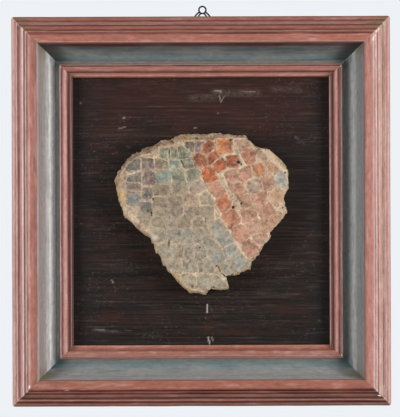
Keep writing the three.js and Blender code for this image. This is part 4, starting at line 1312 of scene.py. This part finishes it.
def bed_spots(stones, rim, tree, spacing):
    """Places for the bed's points inside its rim: between the stones, and close round each one."""
    low, high = rim.min(0), rim.max(0)
    x, z = np.meshgrid(np.arange(low[0], high[0], spacing), np.arange(low[1], high[1], spacing))
    x, z = x.ravel(), z.ravel()
    shift = 0.35 * spacing
    x, z = x + shift * rough(x, z, spacing * 1.3, 71), z + shift * rough(x, z, spacing * 1.3, 72)
    clear = clearance(stones, x, z)
    sparse = (np.arange(len(x)) % 7 == 0) & (clear < -1.2)
    kept = sparse | (clear > 0.25)
    spots = [np.stack([x[kept], z[kept]], 1)]
    for stone in stones:
        for grow in (0.05, -0.5):
            half = max(-outside(stone.corners, *stone.middle), 1)
            ring = stone.middle + (stone.corners - stone.middle) * (1 + grow / half)
            spots.append(resampled(ring, spacing))
    spots = np.vstack(spots)
    spots = spots[inside(rim[::3], spots[:, 0], spots[:, 1])]
    return spots[distances(tree, spots) > 0.6 * spacing]


def make_bed(look, stone_look, stones, material):
    """The mortar bed: one relief from the joints between the stones down the broken edge."""
    rings = ragged_rings(look)
    rim = rings[0][:, (0, 2)]
    tree = search_tree(rim)
    spots = bed_spots(stones, rim, tree, look.spacing / MM)

    count = len(rim)
    loop = [(i, (i + 1) % count) for i in range(count)]
    flat = [Vector(p) for p in np.vstack([rim, spots])]
    found = geometry.delaunay_2d_cdt(flat, loop, [], 1, 1e-5)
    places = np.array([tuple(p) for p in found[0]])
    sources = found[3]
    fx, fz = places.T
    height, clear = bed_height(look, stones, fx, fz, distances(tree, places))
    where = {}
    for new, old in enumerate(sources):
        for source in old:
            if source < count:
                where[source] = new
                height[new] = rings[0][source, 1]
    points = [np.stack([fx, height, fz], 1)] + rings[1:]
    first = len(places)
    columns = [[where[i] for i in range(count)]]
    columns += [[first + k * count + i for i in range(count)] for k in range(len(rings) - 1)]
    faces = [tuple(face) for face in found[2]]
    for upper, lower in zip(columns, columns[1:]):
        for i in range(count):
            j = (i + 1) % count
            faces.append((upper[i], upper[j], lower[j], lower[i]))
    faces.append(tuple(columns[-1]))
    points = np.vstack(points)
    x, h, z = points.T
    tone = bed_tone(look, stone_look, x, h, z, np.concatenate([clear, np.full(len(x) - first, 5.0)]))
    points[:, 0] += FRAGMENT[0]
    points[:, 2] += FRAGMENT[1]
    piece = make_mesh("mortar_bed_relief", points, faces, [material], sharp=70)
    paint_points(piece, tone=tone)
    drop_loose(piece)
    return piece


def drop_loose(piece):
    """Deletes points that no face uses."""
    solid = bmesh.new()
    solid.from_mesh(piece.data)
    loose = [point for point in solid.verts if not point.link_faces]
    bmesh.ops.delete(solid, geom=loose, context="VERTS")
    solid.to_mesh(piece.data)
    solid.free()


def inside(outline, x, z):
    """Whether places lie inside a closed outline."""
    odd = np.zeros(np.shape(x), bool)
    for (ax, az), (bx, bz) in zip(outline, np.roll(outline, -1, 0)):
        if az != bz:
            crosses = (az > z) != (bz > z)
            odd ^= crosses & (x < (bx - ax) * (z - az) / (bz - az) + ax)
    return odd


def bed_height(look, stones, x, z, edge):
    """Height of the mortar's face, and how far each place lies outside the nearest stone."""
    clear = clearance(stones, x, z)
    veil = veiled(x, z)
    level = SLAB_FACE + 0.35 - look.sunk / MM * (1 - 0.8 * veil)
    level = level + look.rough / MM * (layered(x, z, 6, 81) + 0.6 * layered(x, z, 1.8, 82))
    level = level - 0.5 * (1 - smooth(edge, 0.5, 3.0))
    level = level - worn_depth(x, z)
    return np.where(clear < -0.35, np.minimum(level, SLAB_FACE) - 2.4, level), clear


def veiled(x, z):
    """How thick the mortar lies over the stones: 0 to the upper right, 1 to the lower left."""
    across = 0.62 * x + 0.78 * z
    return 1 - smooth(across + 6 * layered(x, z, 16, 91), -2, 22)


def bed_tone(look, stone_look, x, h, z, clear):
    """Colours of the mortar, place by place."""
    tone = np.ones((len(x), 3)) * tuple(look.tan)
    patchy = 0.75 + 0.5 * layered(x, z, 9, 101)
    for px, pz, reach, strength, name in MORTAR_PATCHES:
        amount = strength * (1 - smooth(np.hypot(x - px, z - pz), 0.35 * reach, reach)) * patchy
        tone = toward(tone, getattr(look, name), amount)
    fresh = smooth(layered(x, z, 7, 102), -0.2, 0.4) * (1 - 0.6 * veiled(x, z))
    crest = smooth(clear, 0.25, 0.9) * (1 - smooth(clear, 1.6, 3.0))
    crest = crest * (1 - 0.45 * veiled(x, z + 16))
    tone = toward(tone, look.cream, 0.35 * fresh + 0.85 * crest * (0.5 + 0.5 * fresh))
    tone = soiled(tone, look, x, h, z)
    tone = stroked(tone, x, z, (look, stone_look))
    tone = tone * (1 + 0.3 * layered(1.3 * x + h, 1.3 * z - h, 2.4, 112))[:, None]
    seat = 1 - smooth(np.abs(clear - 0.4), 0.15, 0.5)
    tone = toward(tone, look.earth, 0.3 * seat * smooth(layered(x, z, 4, 104), 0, 0.5))
    rim_of_stone = 1 - smooth(np.abs(clear - 1.0), 0.15, 0.45)
    gap = rim_of_stone * smooth(layered(x, z, 6, 110), 0.0, 0.35) * (1 - veiled(x, z))
    tone = toward(tone, look.dark, gap * (0.3 + 0.6 * smooth(z - 0.9 * x, 20, 60)))
    return toward(tone, look.dark, 0.9 * smooth(worn_depth(x, z), 0.25, 1.1) * (h > SLAB_BACK + 8))


def soiled(tone, look, x, h, z):
    """Lays soil, stains and dark specks over the mortar, most on its broken edge, and cream at its foot and
    lip, partly painted highlight.
    """
    broken = h < SLAB_FACE - 1.2
    soil = smooth(layered(x + h, z - h, 5, 103), 0.05, 0.5)
    tone = toward(tone, look.earth, np.where(broken, 0.6, 0.3) * soil)
    stain = smooth(layered(x - h, z + h, 7, 105), 0.05, 0.5) * smooth(z - 0.2 * x, 10, 50)
    tone = toward(tone, look.rust, np.where(broken, 0.7, 0.25) * stain)
    yellow = smooth(layered(x - h, z - h, 6, 106), 0.05, 0.5)
    tone = toward(tone, look.ochre, np.where(broken, 0.7, 0.0) * yellow)
    tone = tone * (1 + 0.5 * broken * layered(x + h, z - h, 3.4, 108))[:, None]
    # Paler cream at the foot of the broken edge: partly the mortar's cream, partly painted highlight where
    # the side lights catch it
    worn = smooth(layered(x + h, z + h, 4, 107), -0.2, 0.4) * (1 - smooth(h, SLAB_BACK + 4, SLAB_BACK + 8))
    tone = toward(tone, look.cream, 0.75 * worn)
    # Partly the rim's own cream, partly painted highlight along the lip, stronger at the left and right
    # where the side lights fall
    lip_cream_and_highlight = smooth(h, SLAB_FACE - 6.0, SLAB_FACE - 3.0) * broken
    tone = toward(tone, look.cream, lip_cream_and_highlight * np.where(np.abs(x + 10) > 40, 0.8, 0.4))
    speck = smooth(layered(1.4 * x + h, 1.4 * z - h, 2.6, 109), 0.42, 0.7)
    return toward(tone, look.dark, np.where(broken, 0.7, 0.4) * speck)


def stone_steps(half, rounding, buried):
    """Rings of a stone from its foot to near its middle: each one's share of its width, and its drop."""
    steps = [(-0.06 * half, buried), (0.0, 1.6 * rounding), (0.12 * rounding, 0.75 * rounding)]
    steps += [(0.45 * rounding, 0.3 * rounding), (rounding, 0.07 * rounding), (WORN_EDGE * rounding, 0)]
    rest = 1 - WORN_EDGE * rounding / half
    steps = [(1 - abs(inset) / half, drop) for inset, drop in steps]
    return steps + [(rest * share, 0) for share in (0.84, 0.68, 0.52, 0.36, 0.2)]


def make_stone(stone, number, look, mortar_look, material):
    """One worn tessera, its face in rings of points from the edge to the middle."""
    middle, seed = stone.middle, 200 + number
    half = max(-outside(stone.corners, *middle), 2.0)
    outline = resampled(rounded(stone.corners, 0.07, 2), STONE_STEP)
    ragged = look.spread / MM + 0.3 * layered(*outline.T, 4.5, seed) + 0.22 * rough(*outline.T, 1.6, seed)
    outline = outline + (outline - middle) / half * ragged[:, None]
    count = len(outline)
    round_off = look.rounding / MM * (0.75 + 0.5 * rough(number, 0.5, 1, 7))
    steps = stone_steps(half, round_off, LOOSE_SIDE if stone.node else VEILED_SIDE)
    shrink = np.repeat([factor for factor, _ in steps], count)
    drop = np.repeat([fall for _, fall in steps], count)
    flat = middle + (np.tile(outline, (len(steps), 1)) - middle) * shrink[:, None]
    flat = np.vstack([flat, middle])
    shrink, drop = np.append(shrink, 0), np.append(drop, 0)
    x, z = flat.T
    lean = (rough(number, 1, 1, 8) * (x - middle[0]) + rough(number, 2, 1, 8) * (z - middle[1])) * 0.02
    uneven = look.uneven / MM * (layered(x, z, 7, seed) + 0.5 * layered(x, z, 2.2, seed + 3))
    chips = 0.9 * smooth(layered(x, z, 4.5, seed + 5), 0.25, 0.7) * smooth(shrink, 0.72, 0.98)
    depth = worn_depth(x, z)
    height = stone.top - drop + (lean + uneven - chips - depth) * (drop < WORN_EDGE * round_off)
    faces = rings_to_faces(len(steps), count)
    last = (len(steps) - 1) * count
    faces += [(last + i, last + (i + 1) % count, last + count) for i in range(count)]
    faces.append(tuple(range(count)))
    tone = stone_tone(stone, number, look, mortar_look, x, z, shrink, depth)
    points = np.stack([x + FRAGMENT[0], height, z + FRAGMENT[1]], 1)
    piece = make_mesh(stone.name, points, faces, [material], sharp=55)
    paint_points(piece, tone=tone)
    return piece


def stone_tone(stone, number, look, mortar_look, x, z, shrink, depth):
    """Colours of one stone: its kind, its own shade, and the mortar smeared on it."""
    shade = 1 + 0.09 * rough(number, 3, 1, 9)
    warmth = 0.03 * rough(number, 4, 1, 9)
    base = np.array(tuple(getattr(look, stone.kind))) * (shade + warmth, shade, shade - warmth)
    tone = np.ones((len(x), 3)) * base
    other = getattr(look, VEINS[stone.kind])
    film = FIRED_FILM if stone.kind in FIRED else STONE_FILM
    if not stone.node:
        film = VEILED_FILM
    cover = mortar_look.cream if stone.middle @ (0.62, 0.78) > 14 else mortar_look.tan
    tone = toward(tone, other, 0.6 * smooth(layered(x, z, 5, number + 20), 0.0, 0.5))
    for px, pz, reach, strength, name in STONE_PATCHES:
        amount = strength * (1 - smooth(np.hypot(x - px, z - pz), 0.4 * reach, reach))
        tone = toward(tone, getattr(look, name), amount)
    tone = tone * (1 + 0.7 * layered(x, z, 4.2, number, 3))[:, None]
    scratch = layered(x * 0.8 + z * 0.6, (z * 0.8 - x * 0.6) / 5, 1.4, number + 70)
    tone = toward(tone, cover, 0.5 * smooth(scratch, 0.35, 0.75))
    edge = smooth(shrink, 0.55, 1.0)
    smear = smooth(layered(x, z, 5, number + 50, 4) + 0.75 * edge, 0.42, 1.0)
    tone = toward(tone, cover, film * 0.6 + (0.42 + film) * smear * (0.35 + 0.65 * edge))
    tone = stroked(tone, x, z, (mortar_look, look))
    return toward(tone, mortar_look.dark, 0.92 * smooth(depth, 0.2, 0.9))


# Hanger


def curve_through(stops, steps):
    """Points on a smooth curve through some stops."""
    stops = np.array([stops[0] * 2 - stops[1], *stops, stops[-1] * 2 - stops[-2]])
    points = []
    for a, b, c, d in zip(stops, stops[1:], stops[2:], stops[3:]):
        slope, bend, twist = c - a, 2 * a - 5 * b + 4 * c - d, 3 * b - a - 3 * c + d
        for t in np.linspace(0, 1, steps, endpoint=False):
            points.append(0.5 * (2 * b + slope * t + bend * t**2 + twist * t**3))
    return np.array([*points, stops[-2]])


def tube(path, radius, closed, first, sides=12):
    """Points and faces of a round bar along a path of (x, height, z)."""
    path = np.asarray(path)
    if closed:
        ahead = np.roll(path, -1, 0) - np.roll(path, 1, 0)
    else:
        ahead = np.gradient(path, axis=0)
    ahead = ahead / np.linalg.norm(ahead, axis=1)[:, None]
    side = np.cross(ahead, (0.0, 1.0, 0.0))
    side = side / np.linalg.norm(side, axis=1)[:, None]
    up = np.cross(side, ahead)
    points = []
    for i, (where, across, rise) in enumerate(zip(path, side, up)):
        thick = radius * (1 + 0.04 * float(rough(i * 0.7, first, 1.0, 3)))
        for k in range(sides):
            turn = 2 * math.pi * k / sides
            points.append(where + thick * (across * math.cos(turn) + rise * math.sin(turn)))
    faces = rings_to_faces(len(path), sides, first)
    last = first + (len(path) - 1) * sides
    if closed:
        for k in range(sides):
            after = (k + 1) % sides
            faces.append((last + k, last + after, first + after, first + k))
    else:
        faces += [tuple(range(first, first + sides)), tuple(range(last, last + sides))]
    return points, faces


def circle(radius, x, height, z, steps):
    """Points round a circle that lies flat at one height."""
    turns = np.linspace(0, 2 * math.pi, steps, endpoint=False)
    return [(x + radius * math.cos(t), height, z + radius * math.sin(t)) for t in turns]


def wire_leg(side, lean):
    """The course of one strand of a leg, from the eye down to its foot ring."""
    root = math.radians(side * (LEG_ROOT - lean * LEG_ROOT_SPREAD))
    tip = math.radians(-side * lean * LEG_TIP)
    aside, rise = side * lean * LEG_ASIDE, FOOT_HEIGHT - EYE_HEIGHT
    stops = [(math.sin(root) * EYE_RADIUS, EYE_HEIGHT, -math.cos(root) * EYE_RADIUS)]
    for out, up, down in LEG_STOPS:
        stops.append((side * FOOT_SPREAD * out - aside, EYE_HEIGHT + up * rise, -FOOT_DROP * down))
    end_x = side * FOOT_SPREAD - math.sin(tip) * FOOT_RADIUS
    end_z = -FOOT_DROP + math.cos(tip) * FOOT_RADIUS
    return curve_through(np.array([*stops, (end_x, FOOT_HEIGHT, end_z)]), 8)


def make_wire(material):
    """The bent wire: an eye, and from it two doubled legs that end in foot rings."""
    paths = [(circle(EYE_RADIUS, 0, EYE_HEIGHT, 0, 40), True)]
    for side in (-1, 1):
        paths.append((circle(FOOT_RADIUS, side * FOOT_SPREAD, FOOT_HEIGHT, -FOOT_DROP, 30), True))
        for lean in (-1, 1):
            paths.append((wire_leg(side, lean), False))
    points, faces = [], []
    for path, closed in paths:
        more, quads = tube(path, WIRE_RADIUS, closed, len(points))
        points += more
        faces += quads
    return make_mesh("hanger_wire_round", points, faces, [material], sharp=60)


def make_screw(node, material):
    """A round-head screw in the place of its solid, its slot cut in."""
    low, high = (np.array(corner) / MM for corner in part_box(node))
    x, z, radius = (low[0] + high[0]) / 2, (low[2] + high[2]) / 2, (high[0] - low[0]) / 2
    crown, tip = -high[1], -low[1]
    rim, under = crown + SCREW_DOME, crown + SCREW_HEAD
    shank = radius * SHANK_SHARE
    sides = 40
    profile = [(shank * 0.05, tip), (shank, tip - SCREW_POINT), (shank, under)]
    profile += [(radius * 0.97, under), (radius, under - SCREW_EDGE), (radius, rim)]
    for degrees in (20, 40, 60, 78):
        turn = math.radians(degrees)
        profile.append((radius * math.cos(turn), rim + (crown - rim) * math.sin(turn)))
    points = [
        (x + r * math.cos(2 * math.pi * k / sides), h, z + r * math.sin(2 * math.pi * k / sides))
        for r, h in profile
        for k in range(sides)
    ]
    last = (len(profile) - 1) * sides
    faces = rings_to_faces(len(profile), sides)
    faces += [tuple(range(sides)), tuple(range(last, last + sides))]
    piece = make_mesh(node + "_slotted", points, faces, [material], sharp=45)
    reach, c, s = radius * 1.5, math.cos(SLOT_TURN), math.sin(SLOT_TURN)
    corners = [(-reach, -SLOT_HALF), (reach, -SLOT_HALF), (reach, SLOT_HALF), (-reach, SLOT_HALF)]
    sketch = [(x + u * c - v * s, z + u * s + v * c) for u, v in corners]
    cut(piece, prism("slot", sketch, crown - 0.5, crown + SLOT_DEPTH, material))
    return piece


# Stage


def make_floor(look):
    """A plain pale floor well below the panel."""
    mesh = bpy.data.meshes.new("floor")
    sides = ((-1, -1), (1, -1), (1, 1), (-1, 1))
    corners = [(x * FLOOR_REACH, y * FLOOR_REACH, -look.floor_drop) for x, y in sides]
    mesh.from_pydata(corners, [], [(0, 1, 2, 3)])
    shader = Shader("pale_floor", 0.8, 0.2)
    paper = shader.span(shader.cloud(shader.place(), 60, 2), 0.3, 0.7, 0, 0.06)
    mesh.materials.append(shader.finish(shader.over(paper, look.floor, look.air)))
    floor = bpy.data.objects.new("floor", mesh)
    bpy.context.scene.collection.objects.link(floor)


def make_light(name, place, size, watts, tint):
    """A soft rectangular light that points at the middle of the panel."""
    light = bpy.data.lights.new(name, "AREA")
    light.shape = "RECTANGLE"
    light.size, light.size_y = size
    light.energy = watts
    light.color = tint
    lamp = bpy.data.objects.new(name, light)
    lamp.location = place
    aim = Vector(PANEL_MIDDLE) - lamp.location
    lamp.rotation_euler = aim.to_track_quat("-Z", "Y").to_euler()
    bpy.context.scene.collection.objects.link(lamp)


def make_room(look):
    """Even pale air all round, dimmer as a light than it looks."""
    world = bpy.data.worlds.new("room")
    world.use_nodes = True
    tree = world.node_tree
    seen = tree.nodes.new("ShaderNodeBackground")
    lit = tree.nodes["Background"]
    seen.inputs["Color"].default_value = (*look.air, 1)
    lit.inputs["Color"].default_value = (*look.air, 1)
    lit.inputs["Strength"].default_value = look.room_light
    paths = tree.nodes.new("ShaderNodeLightPath")
    either = tree.nodes.new("ShaderNodeMixShader")
    tree.links.new(paths.outputs["Is Camera Ray"], either.inputs[0])
    tree.links.new(lit.outputs[0], either.inputs[1])
    tree.links.new(seen.outputs[0], either.inputs[2])
    tree.links.new(either.outputs[0], tree.nodes["World Output"].inputs["Surface"])
    bpy.context.scene.world = world


def make_camera(look):
    """The camera straight in front of the panel, and level with its middle."""
    camera = bpy.data.cameras.new("camera")
    camera.lens = look.lens
    camera.sensor_width = SENSOR
    camera.clip_start, camera.clip_end = 0.05, 30
    eye = bpy.data.objects.new("camera", camera)
    eye.location = (VIEW_MIDDLE[0], -look.distance, VIEW_MIDDLE[1])
    eye.rotation_euler = (math.radians(90), math.radians(look.roll), 0)
    bpy.context.scene.collection.objects.link(eye)
    bpy.context.scene.camera = eye


# Operators


def settings():
    """All the settings of the panel."""
    return bpy.context.scene.mosaic_panel


class MakeFrame(bpy.types.Operator):
    """Build the four painted lengths of moulding, the top one recessed for the hanger"""

    bl_idname = "mosaic_panel.make_frame"
    bl_label = "Painted Frame"

    def execute(self, context):
        look = settings().frame
        materials = [rubbed_paint(look), bare_timber(look)]
        for node, turns in RAILS.items():
            rail = make_rail(node, turns, look, materials)
            if node == "frame_top_rail":
                cut(rail, prism("recess", recess_sketch(), -1.0, RECESS_DEPTH, materials[1]))
            stand_for(rail, node)
        return {"FINISHED"}


class MakeBoard(bpy.types.Operator):
    """Build the dark stained board behind the mosaic"""

    bl_idname = "mosaic_panel.make_board"
    bl_label = "Backboard"

    def execute(self, context):
        materials = [stained_board(settings().board), bare_timber(settings().frame)]
        stand_for(make_board(settings().board, materials), "backboard")
        return {"FINISHED"}


class MakeMosaic(bpy.types.Operator):
    """Build the mortar bed with its broken edge, and every stone set in it"""

    bl_idname = "mosaic_panel.make_mosaic"
    bl_label = "Mortar and Stones"

    def execute(self, context):
        look, mortar_look = settings().stones, settings().mortar
        dark, cream = mortar_look.dark, mortar_look.cream
        mortar = weathered("lime_mortar", 2.0, 0.75, 0.9, 0.9, dark, cream)
        stone_skin = weathered("worn_stone", 1.5, 0.75, 0.5, 0.75, dark, cream)
        fired_skin = weathered("worn_clay", 1.5, 0.65, 0.6, 0.85, dark, cream)
        stones = loose_stones() + veiled_stones()
        stand_for(make_bed(mortar_look, look, stones, mortar), "mortar_bed")
        for number, stone in enumerate(stones):
            skin = fired_skin if stone.kind in FIRED else stone_skin
            piece = make_stone(stone, number, look, mortar_look, skin)
            stand_for(piece, stone.node)
        return {"FINISHED"}


class MakeHanger(bpy.types.Operator):
    """Build the bent wire that the panel hangs from, and its two screws"""

    bl_idname = "mosaic_panel.make_hanger"
    bl_label = "Wire Hanger"

    def execute(self, context):
        iron = black_iron(settings().hanger)
        stand_for(make_wire(iron), "hanger_wire")
        for node in ("hanger_screw_left", "hanger_screw_right"):
            stand_for(make_screw(node, iron), node)
        return {"FINISHED"}


class MakeStage(bpy.types.Operator):
    """Set up the pale floor, the soft lights and the camera"""

    bl_idname = "mosaic_panel.make_stage"
    bl_label = "Stage"

    def execute(self, context):
        look = settings().stage
        make_floor(look)
        make_room(look)
        for name, place, size, strength, share, tint in LIGHTS:
            make_light(name, place, size, getattr(look, strength) * share, tint)
        make_camera(look)
        context.scene.view_settings.view_transform = "Standard"
        return {"FINISHED"}


# Sidebar


class MosaicPanelSidebar(bpy.types.Panel):
    """Lists the pieces of the mosaic panel and their settings"""

    bl_idname = "VIEW3D_PT_mosaic_panel"
    bl_label = "Mosaic Panel"
    bl_space_type = "VIEW_3D"
    bl_region_type = "UI"
    bl_category = "Mosaic Panel"

    def draw(self, context):
        for operator, groups in ORDER:
            box = self.layout.box()
            box.operator(operator.bl_idname)
            for look in [getattr(settings(), group) for group in groups]:
                for name in type(look).__annotations__:
                    box.prop(look, name)


ORDER = (
    (MakeStage, ("stage",)),
    (MakeFrame, ("frame",)),
    (MakeBoard, ("board",)),
    (MakeMosaic, ("mortar", "stones")),
    (MakeHanger, ("hanger",)),
)
GROUPS = (FrameSettings, BoardSettings, MortarSettings, StoneSettings, HangerSettings, StageSettings)
CLASSES = (*GROUPS, PanelSettings, *(operator for operator, _ in ORDER), MosaicPanelSidebar)


def register():
    for each in CLASSES:
        bpy.utils.register_class(each)
    bpy.types.Scene.mosaic_panel = PointerProperty(
        type=PanelSettings, name="Mosaic panel", description="Its looks"
    )


def unregister():
    del bpy.types.Scene.mosaic_panel
    for each in reversed(CLASSES):
        bpy.utils.unregister_class(each)


def main():
    """Builds everything."""
    register()
    bpy.ops.mosaic_panel.make_stage()
    bpy.ops.mosaic_panel.make_frame()
    bpy.ops.mosaic_panel.make_board()
    bpy.ops.mosaic_panel.make_mosaic()
    bpy.ops.mosaic_panel.make_hanger()


if __name__ == "__main__":
    main()
